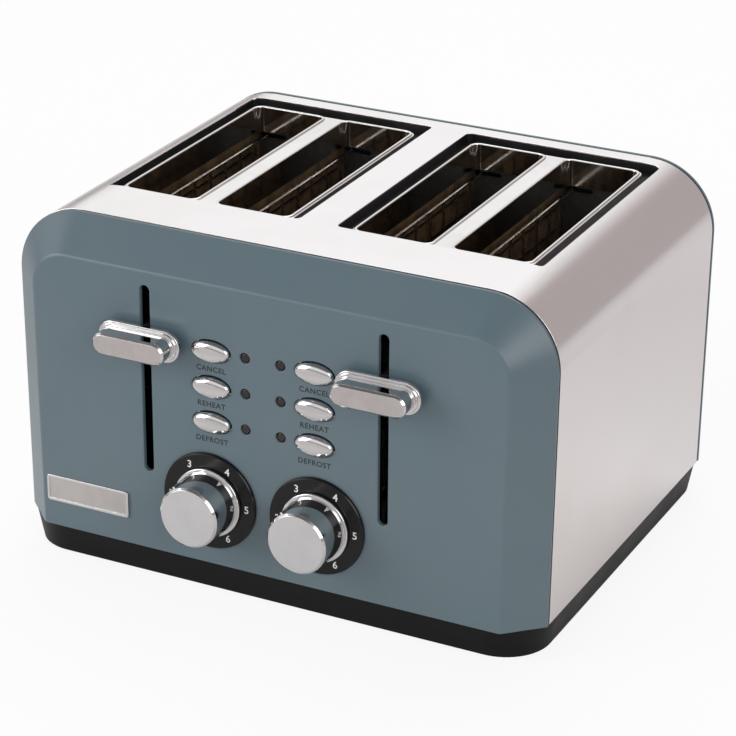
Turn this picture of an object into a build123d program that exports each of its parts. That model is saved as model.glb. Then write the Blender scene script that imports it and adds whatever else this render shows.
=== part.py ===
from build123d import *
import os

os.makedirs("parts", exist_ok=True)

# Four-slice toaster. Millimetres, +Z up, front facing -Y, +X to the right of someone facing it.
# The origin is on the worktop, under the middle of the whole outline.
# "Depth" values are measured rearwards from the flat face of the front panel.

# Body
side_deck = 28.1
middle_deck = 21.2
side_lean = 1.5
corner_radius = 37.0
foot_drop = 2.0
base_height = 16.0
shell_height = 172.5
sheet = 1.0
bevel_depth = 18.8
bevel_width = 18.0
fold_radius = 3.0
panel_wall = 2.5
rim_depth = 1.6
gasket_thickness = 1.5
gasket_width = 3.5
gasket_inset = 0.5
knob_projection = 23.6
rear_projection = 7.0

# Gaps between neighbours
seat_gap = 0.3
slide_gap = 0.4
bearing_gap = 0.05
cut_through = 1.0

# Base
base_inset = 0.8
base_draft = 3.0
base_corner = 28.0
base_wall = 3.5
base_floor = 2.5
foot_diameter = 18.0
foot_recess = 1.0
foot_edge = 0.5
foot_side_inset = 37.2
foot_front_depth = 36.0
foot_rear_depth = 208.0
vent_length = 26.0
vent_width = 2.5
vent_pitch = 6.0
vent_count = 5
case_screw_inset = 12.2
case_screw_tip_gap = 1.0
case_screw_depths = (48.0, 198.0)
case_end_screw_inset = 7.5
boss_diameter = 9.0

# Bread slots and their surrounds
slot_pitch = 53.9
slot_width = 41.3
slot_length = 144.1
slot_corner = 4.0
front_deck = 38.5
rear_deck = 9.1
frame_margin = 2.5
channel_side = 5.9
channel_front = 1.5
channel_rear = 6.8
opening_corner = 3.0
liner_wall = 1.2
liner_depth = 5.0
liner_play = 0.1
frame_recess = 2.4
frame_sheet = 1.0
frame_corner = 6.0
rim_rise = 0.8
rim_width = 1.6
collar_depth = 14.0

# Chassis and heaters
bulkhead_sheet = 1.2
card_sheet = 1.0
card_offset = 27.0
card_bottom = 24.0
card_top = 171.0
ribbon_thickness = 0.4
ribbon_height = 1.6
ribbon_count = 11
ribbon_margin = 12.0
ribbon_end_gap = 9.0
reflector_sheet = 0.8
reflector_gap = 6.45
reflector_bottom = 20.0
reflector_height = 160.0

# Bread guides
guide_wire = 2.0
guide_upright_wire = 1.6
guide_rest_offset = 21.0
guide_travel = 10.5
guide_top = 168.0
guide_bottom = 28.0
guide_upright_count = 9
guide_slot_play = 0.3
guide_end_run = 2.0

# Lever and carriage
lever_height = 137.3
lever_drop = 68.0
lever_lift = 20.0
lever_slot_width = 5.5
lever_slot_play = 0.9
lever_slot_head_room = 1.0
arm_width = 4.0
arm_height = 12.0
lever_face_length = 41.0
lever_face_height = 12.0
lever_flange_length = 46.5
lever_flange_height = 17.0
lever_flange_thickness = 3.0
lever_stand_off = 5.0
lever_projection = 18.2
lever_edge = 1.0
arm_pocket = 5.0
tenon_height = 6.0
rod_diameter = 6.0
rod_depth = 36.0
rod_boss_height = 15.0
rod_boss_diameter = 13.0
rod_tab_height = 172.0
rod_tab_width = 18.0
bush_diameter = 12.0
bush_length = 26.0
bracket_sheet = 1.5
bracket_depth = 43.5
bracket_margin = 6.0
bracket_rise = 3.0
rack_sheet = 1.2
rack_height = 10.0
rack_top = 102.0
rack_end_run = 3.0
rack_slot_play = 0.6
rack_bar_width = 17.0
rack_bar_depth = 5.0
rack_bar_thickness = 1.2
rack_bar_count = 6
rack_bar_end = 10.0
spring_wire = 1.3
spring_play = 0.6
spring_turns = 14
magnet_offset = 17.5
magnet_depth = 32.0
magnet_width = 18.0
magnet_length = 16.0
magnet_height = 21.5
magnet_yoke = 2.5
keeper_thickness = 2.0
keeper_margin = 1.0
shelf_overlap = 2.0

# Controls
row_top = 137.0
row_pitch = 19.5
row_count = 3
button_x = 29.0
button_length = 21.3
button_height = 11.3
button_play = 0.5
button_rise = 3.4
button_round = 2.4
button_lip = 1.8
button_lip_thickness = 1.2
button_stem = 5.0
button_travel = 1.4
lamp_x = 9.9
lamp_hole = 5.6
lamp_play = 0.3
lamp_sink = 0.6
lamp_round = 0.9
board_depth = 12.0
board_thickness = 1.6
board_corner = 2.0
board_inner_x = 5.0
board_outer_x = 47.0
board_bottom = 36.0
board_top = 152.0
board_post = 6.0
board_post_x = (10.5, 43.0)
board_post_z = (80.0, 148.5)
screw_diameter = 3.0
screw_play = 0.1
screw_head = 5.6
screw_head_height = 1.6
screw_reach = 6.0
switch_size = 6.0
switch_height = 4.0
switch_cap_height = 1.0
switch_cap_diameter = 3.0
switch_play = 0.3
dial_x = 30.6
dial_height = 54.25
dial_diameter = 53.0
dial_thickness = 2.0
dial_edge = 0.6
knob_diameter = 32.0
knob_draft = 0.7
knob_bevel = 1.1
skirt_diameter = 34.0
skirt_thickness = 2.0
knob_gap = 0.4
pointer_width = 1.2
pointer_rise = 0.5
pointer_root = 2.0
pointer_angle = 30.0
shaft_diameter = 6.0
shaft_play = 1.2
pot_diameter = 17.0
pot_length = 8.0
shaft_reach = 6.0

# Badge, crumb trays, mains inlet
badge_length = 49.2
badge_height = 14.9
badge_side = 20.9
badge_z = 40.15
badge_thickness = 0.9
badge_border = 1.4
badge_border_rise = 0.5
badge_corner = 1.6
badge_inner_corner = 0.8
tray_width = 112.0
tray_front_depth = 62.0
tray_sheet = 0.8
tray_rim = 7.0
rail_width = 1.6
handle_width = 96.0
handle_height = 10.6
handle_plate = 2.4
handle_lip = 3.2
handle_grip = 57.6
handle_round = 0.8
gland_z = 36.0
gland_flange = 19.0
gland_neck = 13.0
gland_bore = 7.4
gland_nut = 17.0
gland_nut_length = 4.0
gland_flange_length = 3.0
gland_nose = 14.0
terminal_width = 13.0
terminal_length = 10.0
terminal_height = 12.0
terminal_count = 3
terminal_gap = 2.5
terminal_corner = 1.0
terminal_bore = 2.9
terminal_bore_depth = 6.0

# Worked out from the sizes above
frame_width = slot_pitch + slot_width + 2 * frame_margin
frame_length = slot_length + 2 * frame_margin
opening_width = frame_width + 2 * channel_side
opening_length = frame_length + channel_front + channel_rear
shell_length = front_deck + opening_length + rear_deck
rear_depth = 2 * bevel_depth + 2 * gasket_thickness + shell_length
front_y = (knob_projection - rear_depth - rear_projection) / 2
base_bottom = foot_drop
base_top = foot_drop + base_height
floor_top = foot_drop + base_floor
shell_top = base_top + shell_height
shell_front = bevel_depth + gasket_thickness
shell_rear = shell_front + shell_length
lane_x = (opening_width + middle_deck) / 2
shoulder_width = 2 * (lane_x + opening_width / 2 + side_deck)
foot_width = shoulder_width - 2 * side_lean
opening_front = shell_front + front_deck
frame_front = opening_front + channel_front
slot_front = frame_front + frame_margin
slot_mid = slot_front + slot_length / 2
opening_mid = opening_front + opening_length / 2
liner_floor = shell_top - sheet - liner_depth
frame_top = shell_top - frame_recess
front_bulkhead_back = opening_front - liner_wall - seat_gap
front_bulkhead_face = front_bulkhead_back - bulkhead_sheet
rear_bulkhead_face = opening_front + opening_length + liner_wall + seat_gap
rear_bulkhead_back = rear_bulkhead_face + bulkhead_sheet
chamber_length = rear_bulkhead_face - front_bulkhead_back
chamber_mid = (rear_bulkhead_face + front_bulkhead_back) / 2
rack_bottom = rack_top - rack_height
reflector_x = lane_x + slot_pitch / 2 + card_offset + reflector_gap
foot_spread_x = foot_width / 2 - foot_side_inset
case_screw_x = foot_width / 2 - case_screw_inset
badge_x = badge_side + badge_length / 2 - foot_width / 2
guide_ratio = guide_travel / lever_drop
guide_open_extra = guide_ratio * lever_lift
board_mid_z = (board_bottom + board_top) / 2
side_names = {-1: "left", 1: "right"}


def facing(depth):
    """An upright plane at a depth behind the front face: its X is +X, its Y is +Z, it looks forward."""
    return Plane(origin=(0, front_y + depth, 0), x_dir=(1, 0, 0), z_dir=(0, -1, 0))


def level(height):
    """A level plane whose local Y counts depth behind the front face."""
    return Plane(origin=(0, front_y, height), x_dir=(1, 0, 0), z_dir=(0, 0, 1))


def save(part, name):
    """Label one finished piece and write it."""
    part.label = name
    export_step(part, f"parts/{name}.step")


def body_outline(inset=0.0):
    """The arch that the body shows from the front, drawn in by an inset on its top and sides."""
    low = foot_width / 2 - inset
    high = shoulder_width / 2 - inset
    top = shell_top - inset
    arch = Polygon((-low, base_top), (low, base_top), (high, top), (-high, top), align=None)
    fillet(arch.vertices().group_by(Axis.Y)[-1], corner_radius - inset)


def rows():
    """Heights of the rows of buttons and lamps, from the top."""
    return [row_top - row_pitch * row for row in range(row_count)]


def slot_lanes(side):
    """X of the two bread slots on one side."""
    return [side * lane_x - slot_pitch / 2, side * lane_x + slot_pitch / 2]


# Base: a black moulded pan with the crumb trays' rails, posts for the screws and rods, and vents
base_length = rear_depth - 2 * base_inset
base_mid = rear_depth / 2
tray_top = floor_top + seat_gap + tray_rim
rail_height = tray_rim + seat_gap
rail_length = rear_depth - base_inset - base_wall - tray_front_depth
tray_door_width = tray_width + 2 * slide_gap
rail_xs = [side * (lane_x + way * (tray_door_width + rail_width) / 2) for side in (-1, 1) for way in (-1, 1)]
case_screw_spots = [(side * case_screw_x, depth) for side in (-1, 1) for depth in case_screw_depths]
case_screw_spots.append((0, base_inset + case_end_screw_inset))
case_screw_spots.append((0, rear_depth - base_inset - case_end_screw_inset))
foot_depths = (foot_front_depth, foot_rear_depth)
foot_spots = [(side * foot_spread_x, depth) for side in (-1, 1) for depth in foot_depths]

with BuildPart() as base_tray:
    with BuildSketch(level(base_bottom)):
        with Locations((0, base_mid)):
            RectangleRounded(
                foot_width - 2 * base_draft, base_length - 2 * base_draft, base_corner - base_draft
            )
    with BuildSketch(level(base_top)):
        with Locations((0, base_mid)):
            RectangleRounded(foot_width, base_length, base_corner)
    loft()
    with BuildSketch(level(floor_top)):
        with Locations((0, base_mid)):
            RectangleRounded(
                foot_width - 2 * (base_draft + base_wall),
                base_length - 2 * (base_draft + base_wall),
                base_corner - base_draft - base_wall,
            )
    with BuildSketch(level(base_top)):
        with Locations((0, base_mid)):
            RectangleRounded(
                foot_width - 2 * base_wall, base_length - 2 * base_wall, base_corner - base_wall
            )
    loft(mode=Mode.SUBTRACT)
    with BuildSketch(level(floor_top)):
        for rail_x in rail_xs:
            with Locations((rail_x, tray_front_depth + rail_length / 2)):
                Rectangle(rail_width, rail_length)
    extrude(amount=rail_height)
    with BuildSketch(level(floor_top)):
        with Locations(*case_screw_spots):
            Circle(boss_diameter / 2)
    extrude(amount=base_height - base_floor)
    with BuildSketch(level(floor_top)):
        with Locations((-lane_x, rod_depth), (lane_x, rod_depth)):
            Circle(rod_boss_diameter / 2)
    extrude(amount=rod_boss_height)
    with BuildSketch(level(floor_top)):
        for side in (-1, 1):
            with Locations((side * lane_x, rear_depth)):
                Rectangle(tray_door_width, 2 * (base_inset + base_draft + base_wall + cut_through))
    extrude(amount=rail_height + slide_gap, mode=Mode.SUBTRACT)
    with BuildSketch(level(base_bottom)):
        with Locations(*foot_spots):
            Circle(foot_diameter / 2)
    extrude(amount=foot_recess, mode=Mode.SUBTRACT)
    with BuildSketch(level(base_bottom)):
        with Locations(*case_screw_spots):
            Circle(screw_head / 2 + screw_play)
    extrude(amount=screw_head_height, mode=Mode.SUBTRACT)
    with BuildSketch(level(base_bottom)):
        with Locations(*case_screw_spots):
            Circle(screw_diameter / 2 + screw_play)
    extrude(amount=base_height, mode=Mode.SUBTRACT)
    with BuildSketch(level(base_bottom)):
        with Locations((0, foot_front_depth)):
            with GridLocations(vent_pitch, 0, vent_count, 1):
                SlotOverall(vent_length, vent_width, rotation=90)
    extrude(amount=base_floor, mode=Mode.SUBTRACT)
save(base_tray.part, "base_tray")

# Feet: four rubber discs seated in the base
with BuildPart() as rubber_feet:
    with BuildSketch(level(0)):
        with Locations(*foot_spots):
            Circle(foot_diameter / 2)
    extrude(amount=foot_drop + foot_recess)
    chamfer(rubber_feet.edges().group_by(Axis.Z)[0], foot_edge)
save(rubber_feet.part, "rubber_feet")

# Case screws: driven up through the base, heads sunk in its underside
with BuildPart() as case_screws:
    with BuildSketch(level(base_bottom)):
        with Locations(*case_screw_spots):
            Circle(screw_head / 2)
    extrude(amount=screw_head_height)
    with BuildSketch(level(base_bottom)):
        with Locations(*case_screw_spots):
            Circle(screw_diameter / 2)
    extrude(amount=base_height - case_screw_tip_gap)
save(case_screws.part, "case_screws")

# Wrap: one bright steel sheet over the top and down both sides, with a window for each pair of slots
with BuildPart() as wrap_shell:
    with BuildSketch(facing(shell_front)):
        body_outline()
    extrude(amount=-shell_length)
    with BuildSketch(facing(shell_front)):
        body_outline(sheet)
    extrude(amount=-shell_length, mode=Mode.SUBTRACT)
    with BuildSketch(level(liner_floor)):
        with Locations((-lane_x, opening_mid), (lane_x, opening_mid)):
            RectangleRounded(opening_width, opening_length, opening_corner)
    extrude(amount=liner_depth + sheet + cut_through, mode=Mode.SUBTRACT)
save(wrap_shell.part, "wrap_shell")


def end_panel(flat_depth, rim_back):
    """A hollow panel: a flat field with a bevel along its top and sides, back to a straight rim."""
    back = 1 if rim_back > flat_depth else -1
    flat_y = front_y + flat_depth
    inner_inset = bevel_width + panel_wall * bevel_width / bevel_depth / 2
    with BuildPart() as panel:
        with BuildSketch(facing(rim_back)):
            body_outline()
        extrude(amount=back * rim_depth)
        with BuildSketch(facing(rim_back - back * rim_depth)):
            body_outline()
        with BuildSketch(facing(flat_depth)):
            body_outline(bevel_width)
        loft(ruled=True)
        folds = panel.edges().filter_by_position(Axis.Y, flat_y - bearing_gap, flat_y + bearing_gap)
        fillet(folds.filter_by(lambda edge: edge.center().Z > base_top + fold_radius), fold_radius)
        with BuildSketch(facing(rim_back)):
            body_outline(panel_wall)
        with BuildSketch(facing(flat_depth + back * panel_wall)):
            body_outline(inner_inset)
        loft(ruled=True, mode=Mode.SUBTRACT)
    return panel.part


# Front panel: holes for the levers, buttons, lamps and dials, and posts for the two boards
post_spots = [(side * x, z) for side in (-1, 1) for x in board_post_x for z in board_post_z]
lever_slot_low = lever_height - lever_drop - arm_height / 2 - lever_slot_play
lever_slot_high = lever_height + lever_lift + arm_height / 2 + lever_slot_play + lever_slot_head_room
lever_slot_mid = (lever_slot_low + lever_slot_high) / 2
lever_slot_length = lever_slot_high - lever_slot_low
button_spots = [(side * button_x, z) for side in (-1, 1) for z in rows()]
lamp_spots = [(side * lamp_x, z) for side in (-1, 1) for z in rows()]
dial_spots = [(side * dial_x, dial_height) for side in (-1, 1)]

with BuildPart() as front_panel:
    add(end_panel(0, bevel_depth))
    with BuildSketch(facing(panel_wall)):
        with Locations(*post_spots):
            Circle(board_post / 2)
    extrude(amount=-(board_depth - panel_wall))
    with BuildSketch(facing(board_depth)):
        with Locations(*post_spots):
            Circle(screw_diameter / 2 + screw_play)
    extrude(amount=screw_reach, mode=Mode.SUBTRACT)
    with BuildSketch(facing(panel_wall + cut_through)):
        with Locations((-lane_x, lever_slot_mid), (lane_x, lever_slot_mid)):
            SlotOverall(lever_slot_length, lever_slot_width, rotation=90)
        with Locations(*button_spots):
            Ellipse(button_length / 2 + button_play, button_height / 2 + button_play)
        with Locations(*lamp_spots):
            Circle(lamp_hole / 2)
        with Locations(*dial_spots):
            Circle(shaft_diameter / 2 + shaft_play)
    extrude(amount=panel_wall + 2 * cut_through, mode=Mode.SUBTRACT)
save(front_panel.part, "front_panel")

# Rear panel: the same form at the back, with the hole for the mains inlet
with BuildPart() as rear_panel:
    add(end_panel(rear_depth, rear_depth - bevel_depth))
    with BuildSketch(facing(rear_depth + cut_through)):
        with Locations((0, gland_z)):
            Circle(gland_neck / 2 + seat_gap)
    extrude(amount=panel_wall + 2 * cut_through, mode=Mode.SUBTRACT)
save(rear_panel.part, "rear_panel")

# Gaskets: a dark strip between each panel and the wrap
with BuildPart() as panel_gaskets:
    for strip_front in (bevel_depth, shell_rear):
        with BuildSketch(facing(strip_front)):
            body_outline(gasket_inset)
        extrude(amount=-gasket_thickness)
        with BuildSketch(facing(strip_front)):
            body_outline(gasket_inset + gasket_width)
        extrude(amount=-gasket_thickness, mode=Mode.SUBTRACT)
save(panel_gaskets.part, "panel_gaskets")


def recess_liner(side):
    """The black trough round one pair of slots: walls under the wrap's window and a narrow floor."""
    hem = frame_margin - frame_sheet - seat_gap
    with BuildPart() as liner:
        with BuildSketch(level(liner_floor - liner_wall)):
            with Locations((side * lane_x, opening_mid)):
                RectangleRounded(
                    opening_width + 2 * liner_wall,
                    opening_length + 2 * liner_wall,
                    opening_corner + liner_wall,
                )
        extrude(amount=liner_depth + liner_wall)
        with BuildSketch(level(liner_floor)):
            with Locations((side * lane_x, opening_mid)):
                RectangleRounded(opening_width, opening_length, opening_corner)
        extrude(amount=liner_depth, mode=Mode.SUBTRACT)
        with BuildSketch(level(liner_floor - liner_wall)):
            with Locations((side * lane_x, slot_mid)):
                RectangleRounded(frame_width - 2 * hem, frame_length - 2 * hem, frame_corner - hem)
        extrude(amount=liner_wall, mode=Mode.SUBTRACT)
        with BuildSketch(facing(shell_front)):
            body_outline(sheet + liner_play)
        extrude(amount=-shell_length, mode=Mode.INTERSECT)
    return liner.part


def slot_frame(side):
    """The bright frame of one pair of slots: a plate on a skirt, with a rim and a deep collar per slot."""
    with BuildPart() as frame:
        with BuildSketch(level(liner_floor)):
            with Locations((side * lane_x, slot_mid)):
                RectangleRounded(frame_width, frame_length, frame_corner)
        extrude(amount=frame_top - liner_floor)
        with BuildSketch(level(liner_floor)):
            with Locations((side * lane_x, slot_mid)):
                RectangleRounded(
                    frame_width - 2 * frame_sheet, frame_length - 2 * frame_sheet, frame_corner - frame_sheet
                )
        extrude(amount=frame_top - liner_floor - frame_sheet, mode=Mode.SUBTRACT)
        with BuildSketch(level(frame_top - collar_depth)):
            with Locations((side * lane_x, slot_mid)):
                with GridLocations(slot_pitch, 0, 2, 1):
                    RectangleRounded(
                        slot_width + 2 * frame_sheet, slot_length + 2 * frame_sheet, slot_corner + frame_sheet
                    )
        extrude(amount=collar_depth)
        with BuildSketch(level(frame_top)):
            with Locations((side * lane_x, slot_mid)):
                with GridLocations(slot_pitch, 0, 2, 1):
                    RectangleRounded(
                        slot_width + 2 * rim_width, slot_length + 2 * rim_width, slot_corner + rim_width
                    )
        extrude(amount=rim_rise)
        with BuildSketch(level(frame_top - collar_depth)):
            with Locations((side * lane_x, slot_mid)):
                with GridLocations(slot_pitch, 0, 2, 1):
                    RectangleRounded(slot_width, slot_length, slot_corner)
        extrude(amount=collar_depth + rim_rise, mode=Mode.SUBTRACT)
    return frame.part


for side, side_name in side_names.items():
    save(recess_liner(side), f"recess_liner_{side_name}")
    save(slot_frame(side), f"slot_frame_{side_name}")

# Bulkheads: the two steel end plates of the chassis, slotted for the bread racks and the guides
all_lanes = slot_lanes(-1) + slot_lanes(1)
guide_slot_length = guide_travel + guide_open_extra + guide_wire + 2 * guide_slot_play
guide_slot_shift = guide_rest_offset + (guide_open_extra - guide_travel) / 2
guide_slot_xs = [lane + way * guide_slot_shift for lane in all_lanes for way in (-1, 1)]
rack_slot_low = rack_bottom - lever_drop - rack_slot_play
rack_slot_high = rack_top + lever_lift + rack_slot_play


def bulkhead(face_depth):
    """One end plate, standing on the base under the wrap."""
    with BuildPart() as plate:
        with BuildSketch(facing(face_depth)):
            body_outline(sheet + seat_gap)
            for lane in all_lanes:
                with Locations((lane, (rack_slot_low + rack_slot_high) / 2)):
                    Rectangle(
                        rack_sheet + 2 * rack_slot_play, rack_slot_high - rack_slot_low, mode=Mode.SUBTRACT
                    )
            for guide_x in guide_slot_xs:
                with Locations((guide_x, guide_top), (guide_x, guide_bottom)):
                    SlotOverall(guide_slot_length, guide_wire + 2 * guide_slot_play, mode=Mode.SUBTRACT)
        extrude(amount=-bulkhead_sheet)
    return plate.part


tab_length = front_bulkhead_face - rod_depth + rod_tab_width / 2
with BuildPart() as front_bulkhead:
    add(bulkhead(front_bulkhead_face))
    with BuildSketch(level(rod_tab_height)):
        for side in (-1, 1):
            with Locations((side * lane_x, front_bulkhead_face - tab_length / 2)):
                Rectangle(rod_tab_width, tab_length)
            with Locations((side * lane_x, rod_depth)):
                Circle(rod_diameter / 2 + bearing_gap, mode=Mode.SUBTRACT)
    extrude(amount=bulkhead_sheet)
save(front_bulkhead.part, "front_bulkhead")
save(bulkhead(rear_bulkhead_face), "rear_bulkhead")

# Reflectors: a bright plate outside the heaters on each side, and one between the pairs
with BuildPart() as heat_reflectors:
    with BuildSketch(level(reflector_bottom)):
        with Locations((-reflector_x, chamber_mid), (0, chamber_mid), (reflector_x, chamber_mid)):
            Rectangle(reflector_sheet, chamber_length)
    extrude(amount=reflector_height)
save(heat_reflectors.part, "heat_reflectors")


def card_xs(side):
    """X of the three heater cards of one side: outside, between and inside its two slots."""
    low, high = slot_lanes(side)
    return [low - card_offset, side * lane_x, high + card_offset]


def heater_cards(side):
    """Three upright mica sheets held between the bulkheads."""
    with BuildPart() as cards:
        with BuildSketch(level(card_bottom)):
            with Locations(*[(x, chamber_mid) for x in card_xs(side)]):
                Rectangle(card_sheet, chamber_length)
        extrude(amount=card_top - card_bottom)
    return cards.part


def heater_ribbons(side):
    """The flat resistance ribbons that run along both faces of each card."""
    pitch = (card_top - card_bottom - 2 * ribbon_margin) / (ribbon_count - 1)
    ribbon_shift = (card_sheet + ribbon_thickness) / 2
    spots = [(x + way * ribbon_shift, chamber_mid) for x in card_xs(side) for way in (-1, 1)]
    with BuildPart() as ribbons:
        for row in range(ribbon_count):
            with BuildSketch(level(card_bottom + ribbon_margin + pitch * row - ribbon_height / 2)):
                with Locations(*spots):
                    Rectangle(ribbon_thickness, chamber_length - 2 * ribbon_end_gap)
            extrude(amount=ribbon_height)
    return ribbons.part


def bread_guides(side, way):
    """Two wire grilles that close in on the bread together, one in each slot of a side.

    way is the side of the slot that they hang on at rest: -1 for its left, 1 for its right.
    """
    rail_start = front_bulkhead_face - guide_end_run
    rail_end = rear_bulkhead_back + guide_end_run
    upright_pitch = (slot_length - 2 * slot_corner) / (guide_upright_count - 1)
    with BuildPart() as guides:
        with BuildSketch(facing(rail_start)):
            for lane in slot_lanes(side):
                x = lane + way * guide_rest_offset
                with Locations((x, guide_top), (x, guide_bottom)):
                    Circle(guide_wire / 2)
        extrude(amount=-(rail_end - rail_start))
        with BuildSketch(level(guide_bottom)):
            for lane in slot_lanes(side):
                with Locations((lane + way * guide_rest_offset, slot_mid)):
                    with GridLocations(0, upright_pitch, 1, guide_upright_count):
                        Circle(guide_upright_wire / 2)
        extrude(amount=guide_top - guide_bottom)
    return guides.part


# Carriage sizes shared by its pieces
carriage_z = lever_height
bush_bottom = carriage_z + arm_height / 2 - bush_length
bracket_bottom = rack_bottom
bracket_top = carriage_z + bracket_rise
bracket_width = slot_pitch + 2 * bracket_margin
rod_foot = floor_top + rod_boss_height
magnet_top = floor_top + magnet_height
keeper_bottom = magnet_top + lever_drop + seat_gap
shelf_bottom = keeper_bottom + keeper_thickness
arm_front = lever_stand_off + arm_pocket


def lever_knob(side):
    """The bright lever that a finger presses: an oblong grip on a wider flange."""
    with BuildPart() as knob:
        with BuildSketch(facing(-lever_stand_off)):
            with Locations((side * lane_x, carriage_z)):
                SlotOverall(lever_flange_length, lever_flange_height)
        extrude(amount=lever_flange_thickness)
        fillet(knob.edges().group_by(Axis.Y)[0], lever_edge)
        with BuildSketch(facing(-lever_stand_off)):
            with Locations((side * lane_x, carriage_z)):
                SlotOverall(lever_face_length, lever_face_height)
        extrude(amount=lever_projection - lever_stand_off)
        chamfer(knob.edges().group_by(Axis.Y)[0], lever_edge)
        with BuildSketch(facing(-lever_stand_off)):
            with Locations((side * lane_x, carriage_z)):
                Rectangle(arm_width + 2 * screw_play, tenon_height + 2 * screw_play)
        extrude(amount=arm_pocket + screw_play, mode=Mode.SUBTRACT)
    return knob.part


def carriage(side):
    """The sliding frame behind the panel: the lever's arm, a bush on the rod, a bracket and a shelf."""
    lane = side * lane_x
    magnet_x = lane + side * magnet_offset
    shelf_length = bracket_depth - magnet_depth + magnet_length / 2 + shelf_overlap
    with BuildPart() as slider:
        with BuildSketch(facing(-lever_stand_off)):
            with Locations((lane, carriage_z)):
                Rectangle(arm_width, arm_height)
        extrude(amount=-(rod_depth + lever_stand_off))
        with BuildSketch(facing(-arm_front)):
            with Locations((lane, carriage_z)):
                Rectangle(arm_width, tenon_height)
        extrude(amount=-arm_pocket)
        with BuildSketch(level(bush_bottom)):
            with Locations((lane, rod_depth)):
                Circle(bush_diameter / 2)
        extrude(amount=bush_length)
        with BuildSketch(level(bush_bottom)):
            with Locations((lane, (rod_depth + bracket_depth) / 2)):
                Rectangle(arm_width, bracket_depth - rod_depth)
        extrude(amount=bracket_top - bush_bottom)
        with BuildSketch(facing(bracket_depth)):
            with Locations((lane, (bracket_bottom + bracket_top) / 2)):
                Rectangle(bracket_width, bracket_top - bracket_bottom)
        extrude(amount=-bracket_sheet)
        with BuildSketch(level(shelf_bottom)):
            with Locations((magnet_x, bracket_depth - shelf_length / 2 + bracket_sheet)):
                Rectangle(magnet_width, shelf_length)
        extrude(amount=bracket_sheet)
        with BuildSketch(level(bush_bottom)):
            with Locations((lane, rod_depth)):
                Circle(rod_diameter / 2 + bearing_gap)
        extrude(amount=bush_length, mode=Mode.SUBTRACT)
    return slider.part


def magnet_keeper(side):
    """The small iron plate under the shelf that the magnet catches."""
    with BuildPart() as keeper:
        with BuildSketch(level(keeper_bottom)):
            with Locations((side * (lane_x + magnet_offset), magnet_depth)):
                Rectangle(magnet_width - 2 * keeper_margin, magnet_length - 2 * keeper_margin)
        extrude(amount=keeper_thickness)
    return keeper.part


def electromagnet(side):
    """An iron yoke with two pole faces, and the wound coil on its middle leg."""
    spot = (side * (lane_x + magnet_offset), magnet_depth)
    with BuildPart() as magnet:
        with BuildSketch(level(floor_top)):
            with Locations(spot):
                Rectangle(magnet_width, magnet_length)
        extrude(amount=magnet_yoke)
        with BuildSketch(level(floor_top + magnet_yoke)):
            with Locations(spot):
                Circle(magnet_length / 2 - magnet_yoke)
                with GridLocations(magnet_width - magnet_yoke, 0, 2, 1):
                    Rectangle(magnet_yoke, magnet_length)
        extrude(amount=magnet_height - magnet_yoke)
    return magnet.part


def bread_racks(side):
    """Two lifting racks: a long blade through both bulkheads, with bars across it for the bread."""
    rack_front = bracket_depth + bracket_sheet
    rack_length = rear_bulkhead_back + rack_end_run - rack_front
    bar_pitch = (slot_length - 2 * rack_bar_end) / (rack_bar_count - 1)
    with BuildPart() as racks:
        with BuildSketch(level(rack_bottom)):
            for lane in slot_lanes(side):
                with Locations((lane, rack_front + rack_length / 2)):
                    Rectangle(rack_sheet, rack_length)
        extrude(amount=rack_height)
        with BuildSketch(level(rack_top - rack_bar_thickness)):
            for lane in slot_lanes(side):
                with Locations((lane, slot_mid)):
                    with GridLocations(0, bar_pitch, 1, rack_bar_count):
                        Rectangle(rack_bar_width, rack_bar_depth)
        extrude(amount=rack_bar_thickness)
    return racks.part


def return_spring(side):
    """The coil spring round the rod that lifts the carriage."""
    coil_radius = rod_diameter / 2 + spring_play + spring_wire / 2
    coil_bottom = rod_foot + seat_gap + spring_wire / 2
    coil_height = bush_bottom - rod_foot - 2 * seat_gap - spring_wire
    with BuildPart() as spring:
        with BuildLine() as coil:
            Helix(
                pitch=coil_height / spring_turns,
                height=coil_height,
                radius=coil_radius,
                center=(side * lane_x, front_y + rod_depth, coil_bottom),
            )
        with BuildSketch(Plane(origin=coil.line @ 0, z_dir=coil.line % 0)):
            Circle(spring_wire / 2)
        sweep()
    return spring.part


# Guide rods: one upright rod per carriage, from its post on the base to the tab of the bulkhead
with BuildPart() as guide_rods:
    with BuildSketch(level(rod_foot)):
        with Locations((-lane_x, rod_depth), (lane_x, rod_depth)):
            Circle(rod_diameter / 2)
    extrude(amount=rod_tab_height + bulkhead_sheet - rod_foot)
save(guide_rods.part, "guide_rods")


def control_board(side):
    """The circuit board of one pair of slots, on its posts behind the buttons."""
    mid_x = side * (board_inner_x + board_outer_x) / 2
    with BuildPart() as board:
        with BuildSketch(facing(board_depth)):
            with Locations((mid_x, board_mid_z)):
                RectangleRounded(board_outer_x - board_inner_x, board_top - board_bottom, board_corner)
            with Locations(*[(side * x, z) for x in board_post_x for z in board_post_z]):
                Circle(screw_diameter / 2 + 2 * screw_play, mode=Mode.SUBTRACT)
            with Locations((side * dial_x, dial_height)):
                Circle(shaft_diameter / 2 + shaft_play, mode=Mode.SUBTRACT)
        extrude(amount=-board_thickness)
    return board.part


def browning_control(side):
    """The rotary control behind one dial: a round can with a bearing for the shaft."""
    with BuildPart() as can:
        with BuildSketch(facing(board_depth + board_thickness)):
            with Locations((side * dial_x, dial_height)):
                Circle(pot_diameter / 2)
                Circle(shaft_diameter / 2 + bearing_gap, mode=Mode.SUBTRACT)
        extrude(amount=-pot_length)
    return can.part


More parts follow.
